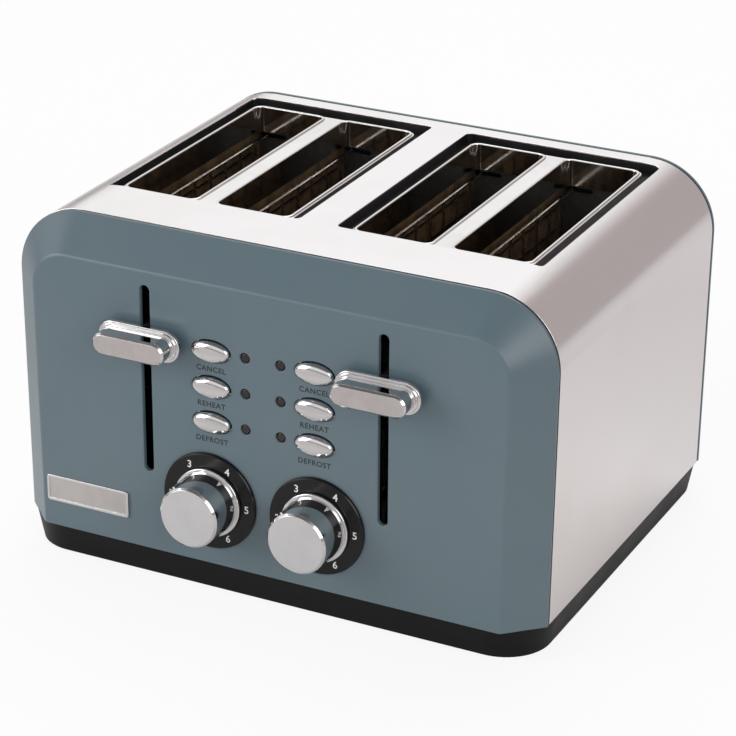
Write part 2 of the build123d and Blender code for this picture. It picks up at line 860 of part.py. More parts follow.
def dial_plate(side):
    """The round black plate behind a browning knob."""
    with BuildPart() as plate:
        with BuildSketch(facing(0)):
            with Locations((side * dial_x, dial_height)):
                Circle(dial_diameter / 2)
                Circle(shaft_diameter / 2 + shaft_play, mode=Mode.SUBTRACT)
        extrude(amount=dial_thickness)
        chamfer(plate.edges().group_by(Axis.Y)[0].sort_by(SortBy.RADIUS)[-1], dial_edge)
    return plate.part


def browning_knob(side):
    """A round knob on a thin skirt, with a slim pointer rib along its side and a shaft through the panel."""
    spot = (side * dial_x, dial_height)
    knob_back = dial_thickness + knob_gap
    knob_front = knob_back + skirt_thickness
    turning_axis = Plane(origin=(spot[0], front_y, spot[1]), x_dir=(0, -1, 0), z_dir=(1, 0, 0))
    with BuildPart() as knob:
        with BuildSketch(turning_axis):
            Polygon(
                (knob_back, 0),
                (knob_back, skirt_diameter / 2),
                (knob_front, skirt_diameter / 2),
                (knob_front, knob_diameter / 2),
                (knob_projection - knob_bevel, knob_diameter / 2 - knob_draft),
                (knob_projection, knob_diameter / 2 - knob_draft - knob_bevel),
                (knob_projection, 0),
                align=None,
            )
        revolve(axis=Axis((spot[0], front_y, spot[1]), (0, -1, 0)))
        with BuildSketch(facing(-knob_front)):
            with Locations(Location((spot[0], spot[1], 0), (0, 0, pointer_angle))):
                with Locations((0, knob_diameter / 2 + pointer_rise - pointer_root / 2)):
                    Rectangle(pointer_width, pointer_root)
        extrude(amount=knob_projection - knob_bevel - knob_front)
        with BuildSketch(facing(-knob_back)):
            with Locations(spot):
                Circle(shaft_diameter / 2)
        extrude(amount=-(knob_back + board_depth + board_thickness + shaft_reach))
    return knob.part


def push_button(spot):
    """An oval domed button with a lip that keeps it behind the panel, and a stem to its switch."""
    lip_front = panel_wall + seat_gap
    stem_end = board_depth - switch_height - button_travel - switch_play
    with BuildPart() as button:
        with BuildSketch(facing(lip_front)):
            with Locations(spot):
                Ellipse(button_length / 2, button_height / 2)
        extrude(amount=lip_front + button_rise)
        fillet(button.edges().group_by(Axis.Y)[0], button_round)
        with BuildSketch(facing(lip_front)):
            with Locations(spot):
                Ellipse(button_length / 2 + button_lip, button_height / 2 + button_lip)
        extrude(amount=-button_lip_thickness)
        with BuildSketch(facing(lip_front)):
            with Locations(spot):
                Circle(button_stem / 2)
        extrude(amount=-(stem_end - lip_front))
    return button.part


def crumb_tray(side):
    """A shallow steel tray, open to the top, that runs on the base's floor."""
    length = rear_depth - base_inset + slide_gap - tray_front_depth
    spot = (side * lane_x, tray_front_depth + length / 2)
    with BuildPart() as tray:
        with BuildSketch(level(floor_top + seat_gap)):
            with Locations(spot):
                Rectangle(tray_width, length)
        extrude(amount=tray_rim)
        with BuildSketch(level(floor_top + seat_gap + tray_sheet)):
            with Locations(spot):
                Rectangle(tray_width - 2 * tray_sheet, length - 2 * tray_sheet)
        extrude(amount=tray_rim - tray_sheet, mode=Mode.SUBTRACT)
    return tray.part


def tray_handle(side):
    """The moulded pull on the rear end of a crumb tray."""
    handle_front = rear_depth - base_inset + slide_gap
    handle_bottom = floor_top + seat_gap
    with BuildPart() as handle:
        with BuildSketch(level(handle_bottom)):
            with Locations((side * lane_x, handle_front + handle_plate / 2)):
                Rectangle(handle_width, handle_plate)
        extrude(amount=handle_height)
        with BuildSketch(level(handle_bottom + handle_height - handle_lip)):
            with Locations((side * lane_x, (handle_front + rear_depth + rear_projection) / 2)):
                Rectangle(handle_grip, rear_depth + rear_projection - handle_front)
        extrude(amount=handle_lip)
        fillet(handle.edges().group_by(Axis.Y)[-1].filter_by(Axis.X), handle_round)
    return handle.part


for side, side_name in side_names.items():
    save(heater_cards(side), f"heater_cards_{side_name}")
    save(heater_ribbons(side), f"heater_ribbons_{side_name}")
    save(bread_guides(side, -1), f"bread_guides_{side_name}_a")
    save(bread_guides(side, 1), f"bread_guides_{side_name}_b")
    save(lever_knob(side), f"lever_knob_{side_name}")
    save(carriage(side), f"carriage_{side_name}")
    save(magnet_keeper(side), f"magnet_keeper_{side_name}")
    save(electromagnet(side), f"electromagnet_{side_name}")
    save(bread_racks(side), f"bread_racks_{side_name}")
    save(return_spring(side), f"return_spring_{side_name}")
    save(control_board(side), f"control_board_{side_name}")
    save(browning_control(side), f"browning_control_{side_name}")
    save(dial_plate(side), f"dial_plate_{side_name}")
    save(browning_knob(side), f"browning_knob_{side_name}")
    save(crumb_tray(side), f"crumb_tray_{side_name}")
    save(tray_handle(side), f"tray_handle_{side_name}")
    for row_name, row_z in zip(("cancel", "reheat", "defrost"), rows()):
        save(push_button((side * button_x, row_z)), f"button_{row_name}_{side_name}")

# Board screws: one in each post, its head against the back of a board
with BuildPart() as board_screws:
    with BuildSketch(facing(board_depth + board_thickness)):
        with Locations(*post_spots):
            Circle(screw_head / 2)
    extrude(amount=-screw_head_height)
    with BuildSketch(facing(board_depth + board_thickness)):
        with Locations(*post_spots):
            Circle(screw_diameter / 2)
    extrude(amount=screw_reach)
save(board_screws.part, "board_screws")

# Switches: a small push switch on the board behind each button
with BuildPart() as button_switches:
    with BuildSketch(facing(board_depth)):
        with Locations(*button_spots):
            Rectangle(switch_size, switch_size)
    extrude(amount=switch_height - switch_cap_height)
    with BuildSketch(facing(board_depth - switch_height + switch_cap_height)):
        with Locations(*button_spots):
            Circle(switch_cap_diameter / 2)
    extrude(amount=switch_cap_height)
save(button_switches.part, "button_switches")

# Lamps: a clear rod with a domed end from each light on the boards to its hole in the panel
with BuildPart() as indicator_lamps:
    with BuildSketch(facing(board_depth)):
        with Locations(*lamp_spots):
            Circle(lamp_hole / 2 - lamp_play)
    extrude(amount=board_depth - lamp_sink)
    fillet(indicator_lamps.edges().group_by(Axis.Y)[0], lamp_round)
save(indicator_lamps.part, "indicator_lamps")

# Badge: a bare plate with a raised border at the lower left of the panel
with BuildPart() as badge_plate:
    with BuildSketch(facing(0)):
        with Locations((badge_x, badge_z)):
            RectangleRounded(badge_length, badge_height, badge_corner)
    extrude(amount=badge_thickness)
    with BuildSketch(facing(-badge_thickness)):
        with Locations((badge_x, badge_z)):
            RectangleRounded(badge_length, badge_height, badge_corner)
            RectangleRounded(
                badge_length - 2 * badge_border,
                badge_height - 2 * badge_border,
                badge_inner_corner,
                mode=Mode.SUBTRACT,
            )
    extrude(amount=badge_border_rise)
save(badge_plate.part, "badge_plate")

# Mains inlet: a moulded gland through the rear panel, with a bore for the lead
with BuildPart() as cord_gland:
    with BuildSketch(facing(rear_depth)):
        with Locations((0, gland_z)):
            Circle(gland_flange / 2)
    extrude(amount=-gland_flange_length)
    with BuildSketch(facing(rear_depth + gland_flange_length)):
        with Locations((0, gland_z)):
            Circle(gland_nose / 2)
    extrude(amount=-(rear_projection - gland_flange_length))
    with BuildSketch(facing(rear_depth)):
        with Locations((0, gland_z)):
            Circle(gland_neck / 2)
    extrude(amount=panel_wall)
    with BuildSketch(facing(rear_depth - panel_wall)):
        with Locations((0, gland_z)):
            Circle(gland_nut / 2)
    extrude(amount=gland_nut_length)
    with BuildSketch(facing(rear_depth + rear_projection)):
        with Locations((0, gland_z)):
            Circle(gland_bore / 2)
    extrude(amount=rear_projection + panel_wall + gland_nut_length, mode=Mode.SUBTRACT)
save(cord_gland.part, "cord_gland")

# Terminal block: where the mains lead meets the inside wiring, on the base between the trays
with BuildPart() as terminal_block:
    with BuildSketch(level(floor_top)):
        with Locations((0, rear_bulkhead_back + terminal_gap + terminal_length / 2)):
            RectangleRounded(terminal_width, terminal_length, terminal_corner)
    extrude(amount=terminal_height)
    with BuildSketch(level(floor_top + terminal_height)):
        with Locations((0, rear_bulkhead_back + terminal_gap + terminal_length / 2)):
            with GridLocations(terminal_width / terminal_count, 0, terminal_count, 1):
                Circle(terminal_bore / 2)
    extrude(amount=-terminal_bore_depth, mode=Mode.SUBTRACT)
save(terminal_block.part, "terminal_block")
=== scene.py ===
# %% [markdown]
# # Dressing a four-slice toaster
#
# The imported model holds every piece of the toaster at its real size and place, but its surfaces are plain.
# This notebook gives it its looks in three stages: a camera and a plain studio, then a finish for every
# piece, then a new surface for each skin that catches the light. Lengths are in metres, +Z is up, and the
# front of the toaster faces -Y.

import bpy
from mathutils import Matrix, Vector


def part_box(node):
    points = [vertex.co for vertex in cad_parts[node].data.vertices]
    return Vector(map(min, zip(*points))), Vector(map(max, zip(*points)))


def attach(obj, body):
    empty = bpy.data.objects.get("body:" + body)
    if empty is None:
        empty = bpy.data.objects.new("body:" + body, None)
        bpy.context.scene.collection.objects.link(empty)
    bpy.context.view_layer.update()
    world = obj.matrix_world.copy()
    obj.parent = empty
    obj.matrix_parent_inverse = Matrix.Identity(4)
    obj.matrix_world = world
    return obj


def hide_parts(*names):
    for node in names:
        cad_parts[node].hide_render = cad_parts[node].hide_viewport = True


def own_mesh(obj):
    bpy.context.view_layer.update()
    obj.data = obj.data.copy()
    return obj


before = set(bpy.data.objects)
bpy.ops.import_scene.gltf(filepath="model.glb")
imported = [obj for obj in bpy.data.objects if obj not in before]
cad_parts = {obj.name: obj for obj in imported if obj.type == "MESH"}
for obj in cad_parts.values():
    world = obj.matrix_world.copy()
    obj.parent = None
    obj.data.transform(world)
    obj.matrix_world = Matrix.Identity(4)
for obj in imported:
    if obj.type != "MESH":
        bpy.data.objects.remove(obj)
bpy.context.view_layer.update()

import math

import bmesh
import bpy
import numpy as np
from mathutils import Matrix, Vector
from mathutils.geometry import tessellate_polygon

mm = 0.001

# %% [markdown]
# ## Camera
#
# A product picture is taken from far away with a long lens, so that parallel edges stay nearly parallel. The
# camera could be aimed with a constraint, but three turns say it exactly. A camera without any looks straight
# down: it is rolled a little, tipped up until only its elevation is left, and swung round by its azimuth.

# %% Camera
photo_width = 736
focal_pixels = 2847.6
camera_azimuth = math.radians(26.467)
camera_elevation = math.radians(24.216)
camera_roll = math.radians(0.3815)
camera_distance = 1.4959
camera_target = Vector((0.00842, -0.0145, 0.09583))

aim = (
    Matrix.Rotation(camera_azimuth, 3, "Z")
    @ Matrix.Rotation(math.pi / 2 - camera_elevation, 3, "X")
    @ Matrix.Rotation(camera_roll, 3, "Z")
)
camera = bpy.data.objects.new("camera", bpy.data.cameras.new("camera"))
camera.data.sensor_width = 36
camera.data.lens = focal_pixels / photo_width * camera.data.sensor_width
camera.data.clip_start = 0.05
camera.matrix_world = Matrix.Translation(camera_target + aim.col[2] * camera_distance) @ aim.to_4x4()
bpy.context.scene.collection.objects.link(camera)
bpy.context.scene.camera = camera
bpy.context.scene.view_settings.view_transform = "Standard"
print("lens", round(camera.data.lens, 1), "mm")

# %% [markdown]
# ## The studio
#
# The room is as plain as the object allows: a pale floor, a white surround and three wide, soft lamps. Metal
# shows whatever surrounds it. So the surround is greyer at the horizon and overhead, and a grey card stands
# behind the toaster's right: they draw the edges of bright parts and keep the steel from looking blank. The
# card could be an object, but as a part of the world it can't be seen by the camera or get in its way. Looks
# are networks of nodes, and a few short helpers keep their wiring readable.

# %% Node helpers
white = (1, 1, 1, 1)


def set_inputs(node, values):
    """Gives inputs of a node, named or counted from 0, their values."""
    for entry, value in values.items():
        node.inputs[entry].default_value = value


def add_node(tree, kind, inputs=None, **settings):
    """A new shader node with its settings and the values of its inputs."""
    made = tree.nodes.new("ShaderNode" + kind)
    for name, value in settings.items():
        setattr(made, name, value)
    set_inputs(made, inputs or {})
    return made


def link(source, output, target, entry):
    """A wire from one node's output to another node's input, each named or counted from 0."""
    source.id_data.links.new(source.outputs[output], target.inputs[entry])


def linear(red, green, blue):
    """A colour picked as 0 to 255 screen values, as the linear light that a shader works with.

    A share of 255 is divided by 12.92 when it is small, and is otherwise ((share + 0.055) / 1.055) ** 2.4.
    """
    screen = np.array([red, green, blue]) / 255
    light = np.where(screen < 0.04045, screen / 12.92, ((screen + 0.055) / 1.055) ** 2.4)
    return (*light.tolist(), 1)


print("mid grey on screen is", round(linear(128, 128, 128)[0], 2), "of full light")

# %% Surround
horizon_grey = linear(168, 160, 160)
overhead_grey = linear(118, 112, 112)
card_grey = linear(178, 168, 168)
white_from, white_to, overhead_from = 0.30, 0.55, 0.8
card_direction = (0.6, 0.8, 0)
card_edge = {"From Min": 0.55, "From Max": 0.8}


def make_surround():
    """A world that is plain white to the camera, with its greys for all other rays.

    Height is the direction's z. How far it points behind the right is its product with a level direction.
    """
    world = bpy.data.worlds.new("studio")
    world.use_nodes = True
    tree = world.node_tree
    direction = add_node(tree, "TexCoord")
    split = add_node(tree, "SeparateXYZ")
    ramp = add_node(tree, "ValToRGB")
    stops = ramp.color_ramp.elements
    stops[0].color = horizon_grey
    stops[1].position = white_from
    stops[1].color = white
    stops.new(white_to).color = white
    stops.new(overhead_from).color = overhead_grey
    behind_right = add_node(tree, "VectorMath", {1: card_direction}, operation="DOT_PRODUCT")
    card = add_node(tree, "MapRange", card_edge, interpolation_type="SMOOTHSTEP")
    carded = add_node(tree, "Mix", {"B": card_grey}, data_type="RGBA")
    room = tree.nodes["Background"]
    backdrop = add_node(tree, "Background", {"Color": white})
    ray = add_node(tree, "LightPath")
    chosen = add_node(tree, "MixShader")
    link(direction, "Generated", split, 0)
    link(split, "Z", ramp, "Fac")
    link(direction, "Generated", behind_right, 0)
    link(behind_right, "Value", card, "Value")
    link(card, "Result", carded, "Factor")
    link(ramp, "Color", carded, "A")
    link(carded, "Result", room, "Color")
    link(ray, "Is Camera Ray", chosen, "Fac")
    link(room, 0, chosen, 1)
    link(backdrop, 0, chosen, 2)
    link(chosen, 0, tree.nodes["World Output"], "Surface")
    bpy.context.scene.world = world


make_surround()
print("white from height", white_from, "to", white_to)

# %% Floor
floor_reach = 3.0
# For everything but the camera, the floor is lighter near the toaster and greyer further out: a painted pool of
# light round it.
floor_painted_lit = (0.95, 0.94, 0.93, 1)
floor_painted_dim = (0.74, 0.71, 0.71, 1)
floor_shown = (0.95, 0.95, 0.95, 1)
floor_painted_falloff = {"From Min": 0.18, "From Max": 0.45}
floor_glow = 0.88


def make_floor():
    """A level sheet: near white to the camera, and to everything else a painted pool of light, greyer away from
    the toaster.
    """
    corners = floor_reach * np.array([(-1, -1, 0), (1, -1, 0), (1, 1, 0), (-1, 1, 0)])
    mesh = bpy.data.meshes.new("floor")
    mesh.from_pydata(corners, [], [(0, 1, 2, 3)])
    floor = bpy.data.objects.new("floor", mesh)
    bpy.context.scene.collection.objects.link(floor)
    material = bpy.data.materials.new("floor")
    material.use_nodes = True
    tree = material.node_tree
    shader = tree.nodes["Principled BSDF"]
    set_inputs(shader, {"Roughness": 0.9, "Specular IOR Level": 0.1})
    place = add_node(tree, "TexCoord")
    distance = add_node(tree, "VectorMath", operation="LENGTH")
    fade = add_node(tree, "MapRange", floor_painted_falloff)
    # The painted pool of light: the floor's colour greys with distance from the toaster.
    painted_pool = add_node(tree, "Mix", {"A": floor_painted_lit, "B": floor_painted_dim}, data_type="RGBA")
    shown = add_node(tree, "Mix", {"B": floor_shown}, data_type="RGBA")
    glow = add_node(tree, "Emission")
    ray = add_node(tree, "LightPath")
    share = add_node(tree, "Math", {1: floor_glow}, operation="MULTIPLY")
    chosen = add_node(tree, "MixShader")
    link(place, "Object", distance, 0)
    link(distance, "Value", fade, "Value")
    link(fade, "Result", painted_pool, "Factor")
    link(painted_pool, "Result", shown, "A")
    link(ray, "Is Camera Ray", shown, "Factor")
    link(shown, "Result", shader, "Base Color")
    link(ray, "Is Camera Ray", share, 0)
    link(share, 0, chosen, "Fac")
    link(shader, 0, chosen, 1)
    link(glow, 0, chosen, 2)
    link(chosen, 0, tree.nodes["Material Output"], "Surface")
    mesh.materials.append(material)


make_floor()
print("floor", 2 * floor_reach, "m wide")

# %% Lamps
lamps = {
    "lamp_left": {"place": (-1.7, -1.5, 0.9), "size": 1.4, "power": 20},
    "lamp_right": {"place": (1.6, -1.3, 0.9), "size": 1.2, "power": 11},
    "lamp_over": {"place": (-0.2, 0.9, 1.9), "size": 1.6, "power": 16},
}


def make_lamp(name, place, size, power):
    """A square soft lamp at a place, turned to the toaster."""
    data = bpy.data.lights.new(name, "AREA")
    data.size = size
    data.energy = power
    lamp = bpy.data.objects.new(name, data)
    lamp.location = place
    lamp.rotation_mode = "QUATERNION"
    lamp.rotation_quaternion = (Vector(place) - camera_target).to_track_quat("Z", "Y")
    bpy.context.scene.collection.objects.link(lamp)


for name, lamp in lamps.items():
    make_lamp(name, **lamp)
print(len(lamps), "lamps")

# %% [markdown]
# ## Shared patterns
#
# Brushed steel, orange peel in paint, the fine grain of a moulding and the haze of handling are all the same
# idea: smooth noise, stretched or not, read at a point of the object. Each is built once as a node group that
# puts out a height or a mask, so that every material can use it with its own sizes. The shader stays in the
# material, because the gloss belongs to the material and not to the pattern.

# %% Pattern groups
def open_group(name, title, value, output):
    """A node group with a place and one more input, one output, and the nodes of its two ends."""
    group = bpy.data.node_groups.new(name, "ShaderNodeTree")
    kind = "NodeSocketFloat" if isinstance(value, float) else "NodeSocketVector"
    group.interface.new_socket("Place", in_out="INPUT", socket_type="NodeSocketVector")
    group.interface.new_socket(title, in_out="INPUT", socket_type=kind).default_value = value
    group.interface.new_socket(output, in_out="OUTPUT", socket_type="NodeSocketFloat")
    return group, group.nodes.new("NodeGroupInput"), group.nodes.new("NodeGroupOutput")


def spread_noise(group, given, noise_inputs, low, high, **settings):
    """Noise read at the group's place and scale, stretched so that low gives 0 and high gives 1."""
    noise = add_node(group, "TexNoise", noise_inputs)
    spread = add_node(group, "MapRange", {"From Min": low, "From Max": high}, **settings)
    link(given, 0, noise, "Vector")
    link(given, 1, noise, "Scale")
    link(noise, "Fac", spread, "Value")
    return spread


def build_grain():
    """Noise whose cycles per metre are given along each axis: even for a grain, uneven for brush lines."""
    group, given, result = open_group("grain", "Cycles", (1000, 1000, 1000), "Height")
    stretched = add_node(group, "VectorMath", operation="MULTIPLY")
    noise = add_node(group, "TexNoise", {"Scale": 1, "Detail": 3})
    link(given, "Place", stretched, 0)
    link(given, "Cycles", stretched, 1)
    link(stretched, 0, noise, "Vector")
    link(noise, "Fac", result, "Height")
    return group


def build_haze():
    """Soft patches: wide noise pushed towards nothing or everything, as wiping and fingers leave them."""
    group, given, result = open_group("haze", "Patches", 20.0, "Mask")
    spread = spread_noise(
        group, given, {"Detail": 4, "Roughness": 0.62}, low=0.4, high=0.65, interpolation_type="SMOOTHSTEP"
    )
    link(spread, "Result", result, "Mask")
    return group


def build_settled_dust():
    """Dust lies on what faces up: the normal's upward part, broken by speckled noise."""
    group, given, result = open_group("settled_dust", "Speckles", 600.0, "Mask")
    spread = spread_noise(group, given, {"Detail": 5}, low=0.45, high=0.75)
    surface = add_node(group, "NewGeometry")
    split = add_node(group, "SeparateXYZ")
    lying = add_node(group, "Math", operation="MULTIPLY", use_clamp=True)
    link(surface, "Normal", split, 0)
    link(split, "Z", lying, 0)
    link(spread, "Result", lying, 1)
    link(lying, 0, result, "Mask")
    return group


grain_group = build_grain()
haze_group = build_haze()
dust_group = build_settled_dust()
print("pattern groups:", [group.name for group in (grain_group, haze_group, dust_group)])

# %% [markdown]
# ## Finishes
#
# The slate panels are paint over steel: satin, with the faint dimples of sprayed paint. The wrap is polished
# sheet, and the frames, levers, knobs and buttons are plated. Mouldings are black, with a fine spark-eroded
# grain. Inside, mica, circuit board, springs and galvanised sheet each keep their own look, since they show
# through the slots and when the trays or levers move. All of them are one recipe with other numbers, so they
# are rows of a table instead of twenty-six functions.

# %% The recipe
micrometre = 0.001 * mm
coat_roughness = 0.06
dust_colour = (0.45, 0.43, 0.40, 1)


def make_finish(
    name, colour, hazy_colour, metallic, rough, hazy_rough, patches, cycles, grain_depth,
    grain_rough=0.0, dust=0.0, coat=0.0, specular=0.5,
):
    """A material whose colour and gloss drift between two values in soft patches, over a fine grain.

    The grain lifts the surface through a bump, and adds to the roughness where grain_rough says so.
    """
    material = bpy.data.materials.new(name)
    material.use_nodes = True
    tree = material.node_tree
    shader = tree.nodes["Principled BSDF"]
    set_inputs(shader, {"Metallic": metallic, "Specular IOR Level": specular})
    set_inputs(shader, {"Coat Weight": coat, "Coat Roughness": coat_roughness})
    place = add_node(tree, "TexCoord")
    haze = add_node(tree, "Group", {"Patches": patches}, node_tree=haze_group)
    tone = add_node(tree, "Mix", {"A": linear(*colour), "B": linear(*hazy_colour)}, data_type="RGBA")
    gloss = add_node(tree, "MapRange", {"To Min": rough, "To Max": hazy_rough})
    grain = add_node(tree, "Group", {"Cycles": np.broadcast_to(cycles, 3).tolist()}, node_tree=grain_group)
    bump = add_node(tree, "Bump", {"Distance": grain_depth * micrometre})
    link(place, "Object", haze, "Place")
    link(haze, "Mask", tone, "Factor")
    link(haze, "Mask", gloss, "Value")
    link(place, "Object", grain, "Place")
    link(grain, "Height", bump, "Height")
    link(bump, "Normal", shader, "Normal")
    link(tone, "Result", shader, "Base Color")
    link(gloss, "Result", shader, "Roughness")
    if grain_rough:
        streak = add_node(tree, "Math", {1: grain_rough}, operation="MULTIPLY_ADD")
        link(grain, "Height", streak, 0)
        link(gloss, "Result", streak, 2)
        link(streak, 0, shader, "Roughness")
    if dust:
        settled = add_node(tree, "Group", node_tree=dust_group)
        amount = add_node(tree, "Math", {1: dust}, operation="MULTIPLY")
        dusty = add_node(tree, "Mix", {"B": dust_colour}, data_type="RGBA")
        link(place, "Object", settled, "Place")
        link(settled, "Mask", amount, 0)
        link(amount, 0, dusty, "Factor")
        link(tone, "Result", dusty, "A")
        link(dusty, "Result", shader, "Base Color")
    return material


print("coats have roughness", coat_roughness)

# %% [markdown]
# A row holds the colour and the colour of the hazy patches as screen values, then metallic, roughness and
# hazy roughness, patches per metre, grain cycles per metre (one number, or one for each axis), and the
# grain's depth in micrometres. What only some finishes have stands apart.

# %% All finishes
finish_rows = {
    "slate_paint": ((90, 108, 116), (94, 111, 118), 0, 0.32, 0.38, 7, 900, 12),
    "polished_wrap": ((242, 240, 240), (238, 234, 234), 1, 0.13, 0.18, 9, (900, 40, 900), 2),
    "bright_frame": ((236, 235, 234), (228, 226, 224), 1, 0.07, 0.12, 25, 300, 3),
    "bright_control": ((214, 213, 213), (207, 206, 206), 1, 0.06, 0.09, 60, 600, 2),
    "satin_face": ((214, 214, 215), (210, 210, 211), 1, 0.26, 0.30, 60, (150, 4000, 4000), 1),
    "badge_metal": ((198, 194, 192), (190, 186, 184), 1, 0.30, 0.36, 60, (120, 3500, 3500), 4),
    "black_moulding": ((12, 12, 13), (15, 15, 16), 0, 0.40, 0.48, 14, 2400, 30),
    "black_trough": ((18, 17, 18), (24, 22, 22), 0, 0.35, 0.45, 30, 2400, 20),
    "gloss_black": ((14, 13, 14), (18, 17, 18), 0, 0.18, 0.26, 40, 700, 4),
    "rubber": ((26, 26, 27), (34, 34, 34), 0, 0.75, 0.88, 120, 1800, 60),
    "zinc_screw": ((176, 178, 180), (158, 160, 160), 1, 0.30, 0.45, 300, 3000, 8),
    "galvanised_sheet": ((150, 150, 148), (118, 118, 117), 1, 0.38, 0.55, 70, 500, 10),
    "reflector_sheet": ((196, 196, 194), (176, 174, 168), 1, 0.22, 0.36, 40, (900, 60, 900), 4),
    "mica": ((118, 96, 70), (84, 66, 48), 0, 0.34, 0.52, 90, (500, 500, 260), 20),
    "resistance_ribbon": ((120, 112, 104), (86, 78, 76), 1, 0.35, 0.50, 200, 1500, 4),
    "bright_rod": ((205, 206, 208), (190, 190, 190), 1, 0.16, 0.24, 150, (2500, 2500, 200), 2),
    "spring_steel": ((132, 132, 134), (110, 109, 110), 1, 0.25, 0.36, 220, 2500, 4),
    "iron_core": ((96, 94, 92), (76, 72, 70), 1, 0.40, 0.60, 160, (1500, 1500, 5000), 12),
    "circuit_board": ((28, 84, 52), (20, 64, 42), 0, 0.28, 0.40, 160, 1600, 10),
    "control_can": ((170, 168, 160), (150, 148, 142), 1, 0.30, 0.42, 200, 1800, 4),
    "switch_plastic": ((40, 40, 42), (54, 54, 55), 0, 0.45, 0.58, 200, 2400, 20),
    "lamp_red": ((28, 14, 13), (22, 11, 11), 0, 0.12, 0.18, 300, 900, 2),
    "rack_wire": ((196, 190, 182), (160, 148, 134), 1, 0.20, 0.34, 110, 1200, 4),
    "tray_sheet": ((178, 178, 177), (160, 159, 157), 1, 0.28, 0.42, 35, (900, 60, 900), 4),
    "white_print": ((238, 238, 236), (226, 226, 224), 0, 0.45, 0.55, 400, 5000, 4),
    "dark_print": ((24, 30, 36), (30, 36, 42), 0, 0.45, 0.55, 400, 5000, 4),
}
finish_extras = {
    "polished_wrap": {"grain_rough": 0.05},
    "satin_face": {"grain_rough": 0.04},
    "badge_metal": {"grain_rough": 0.1},
    "black_moulding": {"dust": 0.004, "specular": 0.2},
    "black_trough": {"dust": 0.05},
    "gloss_black": {"specular": 0.3},
    "rubber": {"dust": 0.1},
    "mica": {"coat": 0.3},
    "circuit_board": {"coat": 0.4},
    "lamp_red": {"coat": 0.2},
    "tray_sheet": {"dust": 0.1},
}
finish = {}
for name, row in finish_rows.items():
    finish[name] = make_finish(name, *row, **finish_extras.get(name, {}))
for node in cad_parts.values():
    for holder in node.material_slots:
        holder.material = finish[holder.material.name.split(".")[0]]
print(len(finish), "finishes")

# %% [markdown]
# ## Surfaces from arrays
#
# Every new skin is a grid of points worked out with numpy. A profile says how far each ring is drawn in and
# how deep it lies, an outline turns each inset into a closed or open ring of points, and quads join each ring
# to the next. Flat fields with holes are filled between their outlines. Modelling by hand would give the same
# faces, but a formula keeps them even, and its numbers can be changed later.

# %% Grids and fills
def grid(points, wrap=False, number=0):
    """Quads over points [ring, place, 3]: each joins a point to its neighbours on the same and the next ring.

    With wrap, the last place of a ring is joined to its first one. The number is that of the faces' finish.
    """
    rings, places = points.shape[:2]
    index = np.arange(rings * places).reshape(rings, places)
    if wrap:
        index = np.hstack([index, index[:, :1]])
    quads = np.stack([index[:-1, :-1], index[1:, :-1], index[1:, 1:], index[:-1, 1:]], axis=-1)
    return points.reshape(-1, 3), quads.reshape(-1, 4).tolist(), number


def fill(*loops, number=0):
    """Triangles over the flat field inside the first loop and outside the others."""
    triangles = tessellate_polygon([[Vector(point) for point in loop] for loop in loops])
    return np.vstack(loops), [list(triangle) for triangle in triangles], number


print("a grid of 3 rings of 4 places has", len(grid(np.zeros((3, 4, 3)))[1]), "quads")

# %% Profiles and outlines
profile_steps = 4


def rounded_profile(corners, radii, steps=profile_steps):
    """A line of straight runs whose inner corners are arcs.

    At a corner with unit directions a and b to its neighbours, half the angle between them is h. The arc's
    centre is radius / sin(h) along their bisector, it starts radius / tan(h) along a, and its points turn
    evenly from the start's direction to the end's.
    """
    corners = np.array(corners, float)
    here = corners[1:-1]
    a = corners[:-2] - here
    b = corners[2:] - here
    a /= np.linalg.norm(a, axis=1, keepdims=True)
    b /= np.linalg.norm(b, axis=1, keepdims=True)
    half = np.arccos(np.clip((a * b).sum(1), -1, 1))[:, None] / 2
    radius = np.array(radii, float)[:, None]
    bisector = (a + b) / np.linalg.norm(a + b, axis=1, keepdims=True)
    centre = here + bisector * radius / np.sin(half)
    start = here + a * radius / np.tan(half) - centre
    end = here + b * radius / np.tan(half) - centre
    turn = (np.pi - 2 * half)[:, None]
    share = np.linspace(0, 1, steps + 1)[None, :, None]
    arcs = (np.sin((1 - share) * turn) * start[:, None] + np.sin(share * turn) * end[:, None]) / np.sin(turn)
    arcs = (arcs + centre[:, None]).reshape(-1, 2)
    return np.vstack([corners[:1], arcs, corners[-1:]])


def rounded_rectangle(half_width, half_length, corner, inset=0.0, steps=10):
    """Rings round a rectangle whose corners are quarter circles, each drawn in by its inset.

    Place by place: the corner's centre, plus its radius less the inset, times (cos, sin) of a turning angle.
    """
    inset = np.atleast_1d(inset)[:, None]
    turn = (np.arange(4)[:, None] * np.pi / 2 + np.linspace(0, np.pi / 2, steps + 1)).ravel()
    side_u = np.repeat([1, -1, -1, 1], steps + 1)
    side_v = np.repeat([1, 1, -1, -1], steps + 1)
    radius = np.maximum(corner - inset, 0)
    u = side_u * (half_width - inset - radius) + radius * np.cos(turn)
    v = side_v * (half_length - inset - radius) + radius * np.sin(turn)
    return np.dstack([u, v])


def oval(half_width, half_height, steps):
    """Rings round an ellipse: half width times cos, half height times sin, of a turning angle."""
    turn = np.linspace(0, 2 * np.pi, steps, endpoint=False)
    u = np.atleast_1d(half_width)[:, None] * np.cos(turn)
    v = np.atleast_1d(half_height)[:, None] * np.sin(turn)
    return np.dstack([u, v])


print("a rounded rectangle has", rounded_rectangle(2, 1, 0.5).shape[1], "places")

# %% [markdown]
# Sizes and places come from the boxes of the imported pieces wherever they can, so that a skin stays on its
# piece when the model changes.

# %% From flat rings to places on the toaster
sides = {"left": -1, "right": 1}
panel_low, panel_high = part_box("front_panel")
front_y = panel_low.y
base_top = panel_low.z
shell_top = panel_high.z


